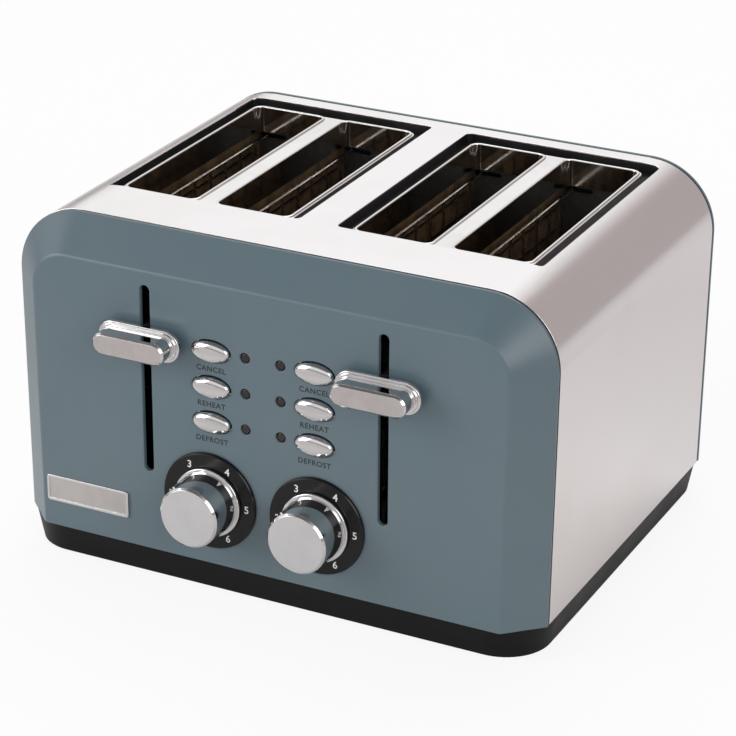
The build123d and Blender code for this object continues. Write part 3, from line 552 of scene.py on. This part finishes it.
def upright(rings, depth, centre=(0, 0)):
    """Rings (u, v) stood up: x is u, z is v, and y lies a depth behind the front panel's flat face."""
    depth = np.broadcast_to(np.reshape(depth, (-1, 1)), rings.shape[:2])
    return np.dstack([rings[..., 0] + centre[0], front_y + depth, rings[..., 1] + centre[1]])


def spot(node):
    """The middle of a node as seen from the front: its x and its height."""
    low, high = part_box(node)
    return (low.x + high.x) / 2, (low.z + high.z) / 2


def half_size(node):
    """Half the width and half the height of a node as seen from the front."""
    low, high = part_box(node)
    return (high.x - low.x) / 2, (high.z - low.z) / 2


def depth_span(node):
    """How far the front and the back of a node lie behind the front panel's flat face."""
    low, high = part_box(node)
    return low.y - front_y, high.y - front_y


print("front face at y =", round(front_y, 4), " base top", round(base_top, 4), " top", round(shell_top, 4))

# %% [markdown]
# ## From parts to a piece
#
# A piece is one object. Its parts are grids and fills, each with the number of its finish. Merging points
# that lie on each other is what turns separate grids into one closed shell, and only a closed shell has a
# sure outside for its normals. Faces are shaded smooth except across a crease sharper than 35 degrees.

# %% Making pieces
crease = math.radians(35)
bevelled_angle = math.radians(50)
merge_distance = 2e-6


def make_piece(name, parts, finishes, body, replaced=None, bevel=0.0, wall=0.0):
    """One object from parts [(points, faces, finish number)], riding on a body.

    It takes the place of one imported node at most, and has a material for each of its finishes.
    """
    offset = 0
    points, faces, numbers = [], [], []
    for part_points, part_faces, number in parts:
        points.append(part_points)
        faces += [[corner + offset for corner in face] for face in part_faces]
        numbers += [number] * len(part_faces)
        offset += len(part_points)
    mesh = bpy.data.meshes.new(name)
    mesh.from_pydata(np.vstack(points), [], faces)
    mesh.polygons.foreach_set("material_index", numbers)
    shell = bmesh.new()
    shell.from_mesh(mesh)
    bmesh.ops.remove_doubles(shell, verts=shell.verts, dist=merge_distance)
    bmesh.ops.recalc_face_normals(shell, faces=shell.faces)
    open_edges = sum(edge.is_boundary for edge in shell.edges)
    shell.to_mesh(mesh)
    shell.free()
    mesh.shade_smooth()
    mesh.set_sharp_from_angle(angle=crease)
    for finish_name in finishes:
        mesh.materials.append(finish[finish_name])
    piece = bpy.data.objects.new(name, mesh)
    bpy.context.scene.collection.objects.link(piece)
    if wall:
        thickness = piece.modifiers.new("wall", "SOLIDIFY")
        thickness.thickness = wall
        thickness.offset = -1
        thickness.use_even_offset = True
    if bevel:
        edge = piece.modifiers.new("edge", "BEVEL")
        edge.width = bevel
        edge.segments = 2
        edge.limit_method = "ANGLE"
        edge.angle_limit = bevelled_angle
        edge.harden_normals = True
    else:
        piece.modifiers.new("flat_fields", "WEIGHTED_NORMAL").keep_sharp = True
    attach(piece, body)
    if replaced:
        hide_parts(replaced)
    print(name, len(mesh.polygons), "faces,", open_edges, "open edges")
    return piece


# %% [markdown]
# ## The shape seen from the front
#
# Panels, gaskets and wrap share one outline: sides that lean out very slightly as they rise, a level top, and
# two wide quarter bends. It could be drawn as a curve object, but a formula gives the same number of points
# for every inset, and that lets rings of different insets be joined point by point.

# %% The arch
foot_half = 149.2 * mm
shoulder_half = 150.7 * mm
bend_radius = 37.0 * mm


def arch(inset=0.0, steps=28):
    """Rings (x, z) from the foot of the right side, over the top, to the foot of the left side.

    The side runs from the foot to where it would meet the top. The bend's centre is a radius below the top
    and a radius inside the side, and its angle turns from square on the side to straight up.
    """
    inset = np.atleast_1d(inset)[:, None]
    radius = bend_radius - inset
    lean = shoulder_half - foot_half
    rise = shell_top - inset - base_top
    slant = np.hypot(lean, rise)
    centre_x = shoulder_half - inset - radius * (slant + lean) / rise
    centre_z = shell_top - inset - radius
    share = np.linspace(0, 1, steps + 1)
    turn = -np.arctan2(lean, rise) * (1 - share) + np.pi / 2 * share
    bend_x = centre_x + radius * np.cos(turn)
    bend_z = centre_z + radius * np.sin(turn)
    foot_x = foot_half - inset
    foot_z = np.full_like(foot_x, base_top)
    right = np.dstack([np.hstack([foot_x, bend_x]), np.hstack([foot_z, bend_z])])
    return np.hstack([right, right[:, ::-1] * np.array([-1, 1])])


print("arch of", arch().shape[1], "points,", np.ptp(arch()[0], axis=0).round(4), "m")

# %% [markdown]
# ## Slate panels
#
# Each end is a pressed steel panel: a flat field, a soft fold, a bevel, and a short straight rim against the
# gasket. One profile carries the skin from the flat field out over the rim and back along the inside. Both
# flat fields are filled around the openings, whose edges are rolled in by a little over half a millimetre, as
# paint leaves them. Booleans could cut the openings too, but they leave ragged shading right where the eye
# looks.

# %% Panel surfaces
bevel_depth = 18.8 * mm
bevel_width = 18.0 * mm
fold_radius = 3.0 * mm
rim_radii = [0.6 * mm, 0.3 * mm, 0.2 * mm]
panel_wall = 2.5 * mm
rim_depth = 1.6 * mm
edge_roll = 0.6 * mm


def opening_wall(outline, flat_depth, inward):
    """Rings of the rolled edge and the wall of one opening through a panel.

    outline(outset) gives the opening's ring, larger by the outset.
    """
    line = rounded_profile([(2 * edge_roll, 0), (0, 0), (0, panel_wall)], [edge_roll])
    rings = np.vstack([outline(outset) for outset in line[:, 0]])
    return upright(rings, flat_depth + inward * line[:, 1])


def panel(name, flat_depth, inward, openings):
    """A hollow bevelled panel. inward is 1 for the front panel and -1 for the rear one."""
    inner_inset = bevel_width + panel_wall * bevel_width / bevel_depth / 2
    skin = rounded_profile(
        [
            (bevel_width + 2 * fold_radius, 0), (bevel_width, 0), (0, bevel_depth - rim_depth),
            (0, bevel_depth), (panel_wall, bevel_depth), (inner_inset, panel_wall),
        ],
        [fold_radius, *rim_radii], steps=8,
    )
    rings = upright(arch(skin[:, 0]), flat_depth + inward * skin[:, 1])
    walls = [opening_wall(outline, flat_depth, inward) for outline in openings]
    parts = [grid(rings)]
    parts += [grid(wall, wrap=True) for wall in walls]
    parts.append(fill(rings[0], *[wall[0] for wall in walls]))
    parts.append(fill(rings[-1], *[wall[-1] for wall in walls]))
    parts.append(fill(np.vstack([rings[:, 0], rings[::-1, -1]])))
    make_piece(name + "_skin", parts, ["slate_paint"], "housing", name)


print("bevel", round(math.degrees(math.atan2(bevel_depth - rim_depth, bevel_width))), "degrees to the field")

# %% [markdown]
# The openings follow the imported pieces: a slot behind each lever, an oval round each button with a round hole
# beside it for its lamp, and a shaft hole behind each dial. Each is kept as a function of its outset, since
# the rolled edge needs it at several sizes.

# %% Openings
row_names = ("cancel", "reheat", "defrost")
lever_slot_half_width = 2.75 * mm
lever_slot_low = 62.4 * mm
lever_slot_high = 165.2 * mm
button_half_length = 10.65 * mm
button_half_height = 5.65 * mm
button_play = 0.5 * mm
lamp_radius = 2.5 * mm
lamp_hole_radius = 2.8 * mm
lamp_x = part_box("indicator_lamps")[1].x - lamp_radius
shaft_hole_radius = 4.2 * mm
gland_hole_radius = 6.8 * mm


def shifted(outline_at, centre):
    """An opening's outline about its own centre, as a function of the outset."""
    return lambda outset: outline_at(outset) + np.array(centre)


def lever_slot(outset):
    """A stadium as tall as the lever's travel."""
    half_height = (lever_slot_high - lever_slot_low) / 2
    return rounded_rectangle(lever_slot_half_width, half_height, lever_slot_half_width, inset=-outset)


def button_hole(outset):
    """The button's oval with its running clearance."""
    play = button_play + outset
    return oval(button_half_length + play, button_half_height + play, steps=64)


def round_hole(radius):
    """A circle, as a function of the outset."""
    return lambda outset: oval(radius + outset, radius + outset, steps=40)


front_openings = []
for name, side in sides.items():
    lever_x = spot(f"lever_knob_{name}")[0]
    front_openings.append(shifted(lever_slot, (lever_x, (lever_slot_low + lever_slot_high) / 2)))
    front_openings.append(shifted(round_hole(shaft_hole_radius), spot(f"dial_plate_{name}")))
    for row in row_names:
        button_x, button_z = spot(f"button_{row}_{name}")
        front_openings.append(shifted(button_hole, (button_x, button_z)))
        front_openings.append(shifted(round_hole(lamp_hole_radius), (side * lamp_x, button_z)))
print(len(front_openings), "openings in the front")

# %% Front and rear panels
rear_depth = depth_span("rear_panel")[1]
gland_spot = (0.0, spot("cord_gland")[1])
panel("front_panel", 0.0, 1, front_openings)
panel("rear_panel", rear_depth, -1, [shifted(round_hole(gland_hole_radius), gland_spot)])

# %% [markdown]
# ## The wrap
#
# One sheet runs up one side, over the top and down the other, with a window for each pair of slots. The sheet
# is only bent, so a column of its points has one x and one height, both on the arch, and differs along y
# alone. The columns stand close together where a window's corner curves, and the faces between the window's
# front and rear edges are left out. A boolean cut would leave long thin faces across the bend instead.

# %% Wrap surface
wrap_low, wrap_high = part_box("wrap_shell")
wrap_sheet = 1.0 * mm
wrap_edge = 0.25 * mm
window_corner = 3.0 * mm
corner_steps = 8
level_steps = 3
wrap_bend_steps = 40
bend_clearance = 0.5 * mm
deck_rows = 4
window_rows = 6
liner_wall = 1.2 * mm
liner_low, liner_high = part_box("recess_liner_right")
window_inner, window_front = liner_low.x + liner_wall, liner_low.y + liner_wall
window_outer, window_rear = liner_high.x - liner_wall, liner_high.y - liner_wall
rounding = 1e-6


def wrap_surface():
    """Points [column, row, 3] of the wrap's outside, and which of its bands is open.

    A column has an x on the right half. Its height is the arch's: level up to the bend's centre, then the
    bend's circle. Within a window's rounded corner, the edge's y is the corner circle's.
    """
    right = arch(steps=wrap_bend_steps)[0, :wrap_bend_steps + 2]
    bend = right[1:][right[1:, 0] > window_outer + bend_clearance]
    corner_share = (1 - np.cos(np.linspace(0, np.pi / 2, corner_steps + 1))) * window_corner
    centre_x = right[-1, 0]
    edge_in = window_inner + corner_share
    edge_out = window_outer - corner_share[::-1]
    between = np.linspace(edge_in[-1], centre_x, level_steps + 1)[1:-1]
    top_x = np.hstack([0, edge_in, between, np.sort(np.hstack([centre_x, edge_out]))])
    off_level = np.clip(top_x - centre_x, 0, None)
    top_z = shell_top - bend_radius + np.sqrt(bend_radius**2 - off_level**2)
    x = np.hstack([top_x, bend[::-1, 0], right[0, 0]])
    z = np.hstack([top_z, bend[::-1, 1], right[0, 1]])
    near_in = np.clip(window_inner + window_corner - x, 0, window_corner)
    near_out = np.clip(x - window_outer + window_corner, 0, window_corner)
    run_in = window_corner - np.sqrt(window_corner**2 - np.maximum(near_in, near_out) ** 2)
    front_edge = window_front + run_in
    rear_edge = window_rear - run_in
    front_rows = np.linspace(wrap_low.y, front_edge, deck_rows + 1)
    between_rows = np.linspace(front_edge, rear_edge, window_rows + 1)[1:-1]
    rear_rows = np.linspace(rear_edge, wrap_high.y, deck_rows + 1)
    y = np.vstack([front_rows, between_rows, rear_rows]).T
    half = np.dstack(np.broadcast_arrays(x[:, None], y, z[:, None]))
    column_open = (x[:-1] >= window_inner - rounding) & (x[1:] <= window_outer + rounding)
    row = np.arange(y.shape[1] - 1)
    row_open = (row >= deck_rows) & (row < deck_rows + window_rows)
    return half, (column_open[:, None] & row_open[None, :]).ravel()


def make_wrap():
    """The right half of the wrap and its mirror image in the middle plane, with the windows left out."""
    half, is_open = wrap_surface()
    parts = []
    for way in (1, -1):
        points, quads, number = grid(half * np.array([way, 1, 1]))
        parts.append((points, [quad[::way] for quad, hole in zip(quads, is_open) if not hole], number))
    make_piece(
        "wrap_skin", parts, ["polished_wrap"], "housing", "wrap_shell", bevel=wrap_edge, wall=wrap_sheet
    )


make_wrap()

# %% [markdown]
# ## Slot frames
#
# Each pair of bread slots has one bright pressing: a plate on a short skirt, with a rolled rim and a deep
# collar round each slot. Both sides of the sheet are one closed shell, so its outer profile runs from the
# underside of the plate, round the foot of the skirt, to the top of the plate, and each collar's profile runs
# from the top of the plate, over the rim, down into the slot and back up to the underside. A modifier could
# thicken a single sheet, as it does on the wrap, but here each edge has a radius of its own.

# %% Frames round the slots
slot_half_width = 20.65 * mm
slot_half_length = 72.05 * mm
slot_corner = 4.0 * mm
slot_pitch = 53.9 * mm
frame_corner = 6.0 * mm
frame_sheet = 1.0 * mm
skirt_margin = 0.6 * mm
skirt_radii = np.array([0.2, 0.2, 0.2, 0.5]) * mm
rim_width = 1.6 * mm
rim_rise = 0.8 * mm
collar_depth = 14.0 * mm
collar_radii = np.array([0.12, 0.6, 0.6, 0.3, 0.3, 0.08]) * mm
field_margin = 0.1 * mm


def laid(rings, height, centre):
    """Rings (u, v) laid level: x is u, y is v, at a height."""
    height = np.broadcast_to(np.reshape(height, (-1, 1)), rings.shape[:2])
    return np.dstack([rings + np.array(centre), height])


def make_slot_frame(name):
    """The bright frame of one pair of slots."""
    low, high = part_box(f"slot_frame_{name}")
    centre_x, centre_y = (low.x + high.x) / 2, (low.y + high.y) / 2
    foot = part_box(f"recess_liner_{name}")[0].z + liner_wall
    top = high.z - rim_rise
    under = top - frame_sheet
    bottom = top - collar_depth
    skirt = rounded_profile(
        [
            (frame_sheet + 3 * field_margin, under), (frame_sheet, under), (frame_sheet, foot),
            (0, foot), (0, top), (skirt_margin, top),
        ],
        skirt_radii, steps=5,
    )
    outline = rounded_rectangle((high.x - low.x) / 2, (high.y - low.y) / 2, frame_corner, inset=skirt[:, 0])
    skirt_rings = laid(outline, skirt[:, 1], (centre_x, centre_y))
    collar = rounded_profile(
        [
            (rim_width + 1.5 * field_margin, top), (rim_width, top), (rim_width, high.z), (0, high.z),
            (0, bottom), (frame_sheet, bottom), (frame_sheet, under), (frame_sheet + field_margin, under),
        ],
        collar_radii, steps=5,
    )
    slot = rounded_rectangle(slot_half_width, slot_half_length, slot_corner, inset=-collar[:, 0])
    collars = [laid(slot, collar[:, 1], (centre_x + way * slot_pitch / 2, centre_y)) for way in (-1, 1)]
    parts = [grid(rings, wrap=True) for rings in (skirt_rings, *collars)]
    parts.append(fill(skirt_rings[-1], *[rings[0] for rings in collars]))
    parts.append(fill(skirt_rings[0], *[rings[-1] for rings in collars]))
    make_piece(f"slot_frame_skin_{name}", parts, ["bright_frame"], "housing", f"slot_frame_{name}")


for name in sides:
    make_slot_frame(name)

# %% [markdown]
# ## Controls
#
# Levers, knobs, dial plates, buttons and the mains gland are all one idea: a closed ring that grows, shrinks
# and moves along one direction. A rounded profile gives each ring its inset or radius and its depth. Where a
# plated piece has a satin face inside a bright bevel, the rings are split in two bands with a finish each. A
# screw modifier would turn the round pieces too, but it can't make the oval and the oblong ones.

# %% Rings for the controls
def banded(rings, corners):
    """Grids over closed rings, with finish 0 up to the arc of so many corners, and finish 1 from there on."""
    split = corners * (profile_steps + 1)
    return [grid(rings[:split + 1], wrap=True), grid(rings[split:], wrap=True, number=1)]


def turned(profile, centre, steps=96):
    """Rings of a round piece, from its profile of radius and depth."""
    return upright(oval(profile[:, 0], profile[:, 0], steps), profile[:, 1], centre)


print("each rounded corner of a control has", profile_steps, "steps")

# %% Levers
flange_lip = 2.5 * mm
flange_extra = 0.25 * mm
flange_thickness = 3.0 * mm
flange_step = 1.1 * mm
flange_step_height = 1.9 * mm
lever_bevel = 1.1 * mm
lever_radii = np.array([0.5, 0.2, 0.4, 0.3, 0.25, 0.25]) * mm
tenon_half_width = 2.1 * mm
tenon_half_height = 3.1 * mm
tenon_corner = 0.2 * mm
tenon_pocket = 5.1 * mm


def make_lever(name):
    """A stepped flange and an oblong grip with a satin face inside a bright bevel.

    Its rings are stadiums: rectangles whose corner radius is their half height.
    """
    node = f"lever_knob_{name}"
    face, back = depth_span(node)
    step = back - flange_step_height
    flange = back - flange_thickness
    line = rounded_profile(
        [
            (0, back), (0, step), (flange_step, step), (flange_step, flange), (flange_lip, flange),
            (flange_lip, face + lever_bevel), (flange_lip + lever_bevel, face),
            (flange_lip + 2 * lever_bevel, face),
        ],
        lever_radii,
    )
    inset = line[:, :1]
    half_length, half_height = half_size(node)
    half_length = half_length - inset - flange_extra * np.clip(inset / flange_lip, 0, 1)
    half_height = half_height - inset
    stadium = rounded_rectangle(half_length, half_height, half_height, steps=14)
    rings = upright(stadium, line[:, 1], spot(node))
    hole = rounded_rectangle(tenon_half_width, tenon_half_height, tenon_corner, inset=[0, 0], steps=2)
    pocket = upright(hole, [back, back - tenon_pocket], spot(node))
    parts = banded(rings, corners=6)
    parts.append(fill(rings[-1], number=1))
    parts += [fill(rings[0], pocket[0]), grid(pocket, wrap=True), fill(pocket[1])]
    make_piece(f"lever_grip_{name}", parts, ["bright_control", "badge_metal"], f"carriage_{name}", node)


for name in sides:
    make_lever(name)

# %% Dial plates and knobs
plate_edge = 0.6 * mm
plate_radii = np.array([0.3, 0.4, 0.3, 0.1]) * mm


def make_dial_plate(name):
    """A round gloss plate with a rolled edge and a hole for the shaft."""
    node = f"dial_plate_{name}"
    radius = half_size(node)[0]
    front = depth_span(node)[0]
    line = rounded_profile(
        [
            (shaft_hole_radius, 0), (shaft_hole_radius, front), (radius - plate_edge, front),
            (radius, front + plate_edge), (radius, 0), (shaft_hole_radius, 0),
        ],
        plate_radii,
    )
    parts = [grid(turned(line, spot(node)), wrap=True)]
    make_piece(f"dial_face_{name}", parts, ["gloss_black"], "housing", node)


# The knob stands a little clear of the plate.
knob_gap = 0.4 * mm
skirt_thickness = 2.0 * mm
skirt_radius = 18.8 * mm
knob_radius = 17.1 * mm
knob_draft = 0.7 * mm
knob_bevel = 1.1 * mm
knob_radii = np.array([0.3, 0.4, 0.6, 0.2, 0.3, 0.3]) * mm
shaft_radius = 3.0 * mm
pointer_half_width = 0.6 * mm
pointer_half_height = 1.0 * mm
pointer_edge = 0.3 * mm
pointer_deepest_inset = 0.25 * mm
pointer_middle = 16.5 * mm
pointer_angle = math.radians(30)


def pointer_rings(front, back):
    """Rings of the rib along the knob's side, upright on the axis and then turned to the stored position."""
    run = rounded_profile([(0, back), (0, front), (pointer_half_width, front)], [pointer_edge], steps=3)
    inset = np.minimum(run[:, 0], pointer_deepest_inset)
    rib = rounded_rectangle(pointer_half_width, pointer_half_height, pointer_edge, inset=inset, steps=3)
    rib[..., 1] += pointer_middle
    cosine, sine = math.cos(pointer_angle), math.sin(pointer_angle)
    return rib @ np.array([[cosine, sine], [-sine, cosine]]), run[:, 1]


def make_knob(name):
    """A round knob on a thin skirt, its shaft behind it, and the slim pointer rib along its side."""
    node = f"browning_knob_{name}"
    dial = f"dial_plate_{name}"
    face, shaft_end = depth_span(node)
    skirt_back = depth_span(dial)[0] - knob_gap
    skirt_front = skirt_back - skirt_thickness
    tip_radius = knob_radius - knob_draft
    line = rounded_profile(
        [
            (shaft_radius, shaft_end), (shaft_radius, skirt_back), (skirt_radius, skirt_back),
            (skirt_radius, skirt_front), (knob_radius, skirt_front), (tip_radius, face + knob_bevel),
            (tip_radius - knob_bevel, face), (tip_radius - 2 * knob_bevel, face),
        ],
        knob_radii,
    )
    rings = turned(line, spot(dial))
    rib = upright(*pointer_rings(face + knob_bevel, skirt_front), spot(dial))
    parts = banded(rings, corners=6)
    parts += [fill(rings[-1], number=1), fill(rings[0])]
    parts += [grid(rib, wrap=True), fill(rib[0]), fill(rib[-1])]
    make_piece(f"knob_{name}", parts, ["bright_control", "satin_face"], node, node)


for name in sides:
    make_dial_plate(name)
    make_knob(name)

# %% [markdown]
# The buttons are shallow domes. A superellipse keeps the top full and turns the edge down steeply, which an
# ellipse doesn't.

# %% Buttons
button_lip = 1.8 * mm
lip_thickness = 1.2 * mm
lip_front = 2.8 * mm
stem_radius = 2.5 * mm
dome_power = 2.6
dome_rings = 16


def make_button(row, name):
    """A dome on an oval, with the lip that keeps it behind the panel and the stem to its switch.

    Round the dome, share**power + (rise / full rise)**power = 1, where share is the part of the oval's size.
    """
    node = f"button_{row}_{name}"
    top, stem_end = depth_span(node)
    turn = np.linspace(0, np.pi / 2, dome_rings + 1)[:-1]
    share = np.cos(turn) ** (2 / dome_power)
    lift = np.sin(turn) ** (2 / dome_power)
    lip_back = lip_front + lip_thickness
    size = np.array([button_half_length, button_half_height])
    stem = np.full((2, 2), stem_radius)
    sizes = np.vstack([stem, size + button_lip, size + button_lip, size, size * share[:, None]])
    depths = np.hstack([stem_end, lip_back, lip_back, lip_front, lip_front, top * lift])
    rings = upright(oval(sizes[:, 0], sizes[:, 1], steps=72), depths, spot(node))
    parts = [grid(rings, wrap=True), fill(rings[0]), fill(rings[-1])]
    make_piece(f"button_dome_{row}_{name}", parts, ["bright_control"], node, node)


for name in sides:
    for row in row_names:
        make_button(row, name)

# %% [markdown]
# ## Badge and mains gland
#
# The badge is a bare plate: a bright border round a brushed field. The gland at the rear is turned, with a
# step for its nose and an open bore. Bevelled boxes and cylinders would do as well, but the rings are there
# already.

# %% Badge
badge_border = 1.4 * mm
badge_border_rise = 0.5 * mm
badge_corner = 1.6 * mm
badge_radii = np.array([0.35, 0.2, 0.1]) * mm


def make_badge():
    """A bordered plate whose field is brushed and bare."""
    front = depth_span("badge_plate")[0]
    field = front + badge_border_rise
    line = rounded_profile(
        [(0, 0), (0, front), (badge_border, front), (badge_border, field), (2 * badge_border, field)],
        badge_radii,
    )
    outline = rounded_rectangle(*half_size("badge_plate"), badge_corner, inset=line[:, 0])
    rings = upright(outline, line[:, 1], spot("badge_plate"))
    parts = banded(rings, corners=3)
    parts += [fill(rings[-1], number=1), fill(rings[0])]
    finishes = ["bright_control", "badge_metal"]
    make_piece("badge_skin", parts, finishes, "housing", "badge_plate")


make_badge()

# %% Mains gland
gland_bore_radius = 3.7 * mm
gland_nose_radius = 7.0 * mm
gland_neck_radius = 6.5 * mm
gland_nut_radius = 8.5 * mm
gland_flange_length = 3.0 * mm
gland_radii = np.array([1.2, 0.6, 0.8, 0.1, 0.2, 0.2, 0.4, 0.4, 0.4]) * mm


def make_gland():
    """A turned moulding on the rear panel: nose, flange, neck through the panel, and nut."""
    nut, nose = depth_span("cord_gland")
    flange_radius = half_size("cord_gland")[0]
    flange = rear_depth + gland_flange_length
    inside = rear_depth - panel_wall
    line = rounded_profile(
        [
            (gland_bore_radius, nose), (gland_nose_radius, nose), (gland_nose_radius, flange),
            (flange_radius, flange), (flange_radius, rear_depth), (gland_neck_radius, rear_depth),
            (gland_neck_radius, inside), (gland_nut_radius, inside), (gland_nut_radius, nut),
            (gland_bore_radius, nut), (gland_bore_radius, nose),
        ],
        gland_radii,
    )
    parts = [grid(turned(line, gland_spot, steps=64), wrap=True)]
    make_piece("gland_moulding", parts, ["black_moulding"], "housing", "cord_gland")


make_gland()

# %% [markdown]
# ## Print
#
# The numbers on the dials and the words under the buttons are generic, so they stay. A text object gives the
# shapes of the letters, and its mesh is kept in place of it, a few hundredths of a millimetre thick, as print
# would lie on the paint. An image of the print would be lighter, but it blurs close up.

# %% Lettering
print_thickness = 0.04 * mm
letter_thickness = 0.01
letter_curve_steps = 5


def lettering(text, height, centre, depth, boldness, spacing=1.0):
    """The mesh of a line of text, as tall as asked, standing at a depth with its middle on a centre."""
    curve = bpy.data.curves.new(text, "FONT")
    curve.body = text
    curve.extrude = letter_thickness
    curve.offset = boldness
    curve.space_character = spacing
    curve.resolution_u = letter_curve_steps
    holder = bpy.data.objects.new(text, curve)
    bpy.context.scene.collection.objects.link(holder)
    letters = bpy.data.meshes.new_from_object(holder.evaluated_get(bpy.context.evaluated_depsgraph_get()))
    flat = np.empty(len(letters.vertices) * 3)
    letters.vertices.foreach_get("co", flat)
    flat = flat.reshape(-1, 3)
    faces = [list(face.vertices) for face in letters.polygons]
    bpy.data.objects.remove(holder)
    bpy.data.curves.remove(curve)
    bpy.data.meshes.remove(letters)
    scale = height / np.ptp(flat[:, 1])
    middle = (flat[:, :2].max(0) + flat[:, :2].min(0)) / 2
    placed = (flat[:, :2] - middle) * scale + np.array(centre)
    y = front_y + depth - print_thickness * (flat[:, 2] > 0)
    return np.stack([placed[:, 0], y, placed[:, 1]], axis=-1), faces, 0


print("print is", round(print_thickness / mm, 3), "mm thick")

# %% Numbers and words
number_height = 4.0 * mm
number_circle = 21.8 * mm
number_boldness = 0.008
number_angles = np.radians(210 + 60 * np.arange(6))
word_height = 3.0 * mm
word_drop = 9.6 * mm
word_boldness = 0.02
word_spacing = 1.12

for name in sides:
    dial = f"dial_plate_{name}"
    plate_front = depth_span(dial)[0]
    numbers = []
    for count, angle in enumerate(number_angles, start=1):
        centre = spot(dial) + number_circle * np.array([np.sin(angle), np.cos(angle)])
        numbers.append(lettering(str(count), number_height, centre, plate_front, number_boldness))
    make_piece(f"dial_numbers_{name}", numbers, ["white_print"], "housing")
    words = []
    for row in row_names:
        centre = spot(f"button_{row}_{name}") - np.array([0, word_drop])
        words.append(lettering(row.upper(), word_height, centre, 0.0, word_boldness, word_spacing))
    make_piece(f"button_words_{name}", words, ["dark_print"], "housing")

# %% [markdown]
# ## Return springs
#
# A carriage's spring is pressed together as its lever goes down. Its wire is a tube round a helix that fills
# the imported spring's box.

# %% Springs
spring_wire_radius = 0.65 * mm
spring_turns = 14
points_per_turn = 24
wire_points = 10


def make_spring(name):
    """A tube along a helix: round the rod by the turning angle, and up by an even share of the height.

    At each place the ring lies in the plane of the outward direction and of the upward one, which is near
    enough square to a helix as flat as this.
    """
    node = f"return_spring_{name}"
    low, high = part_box(node)
    centre = (low + high) / 2
    radius = (high.x - low.x) / 2 - spring_wire_radius
    turn = np.linspace(0, 2 * np.pi * spring_turns, spring_turns * points_per_turn + 1)
    height = np.linspace(low.z + spring_wire_radius, high.z - spring_wire_radius, len(turn))
    round_wire = np.linspace(0, 2 * np.pi, wire_points, endpoint=False)
    out = radius + spring_wire_radius * np.cos(round_wire)
    x = centre.x + np.cos(turn)[:, None] * out
    y = centre.y + np.sin(turn)[:, None] * out
    z = height[:, None] + spring_wire_radius * np.sin(round_wire)
    rings = np.stack([x, y, z], axis=-1)
    parts = [grid(rings, wrap=True), fill(rings[0]), fill(rings[-1])]
    piece = make_piece(f"spring_{name}", parts, ["spring_steel"], "housing", node)
    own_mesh(piece)


for name in sides:
    make_spring(name)
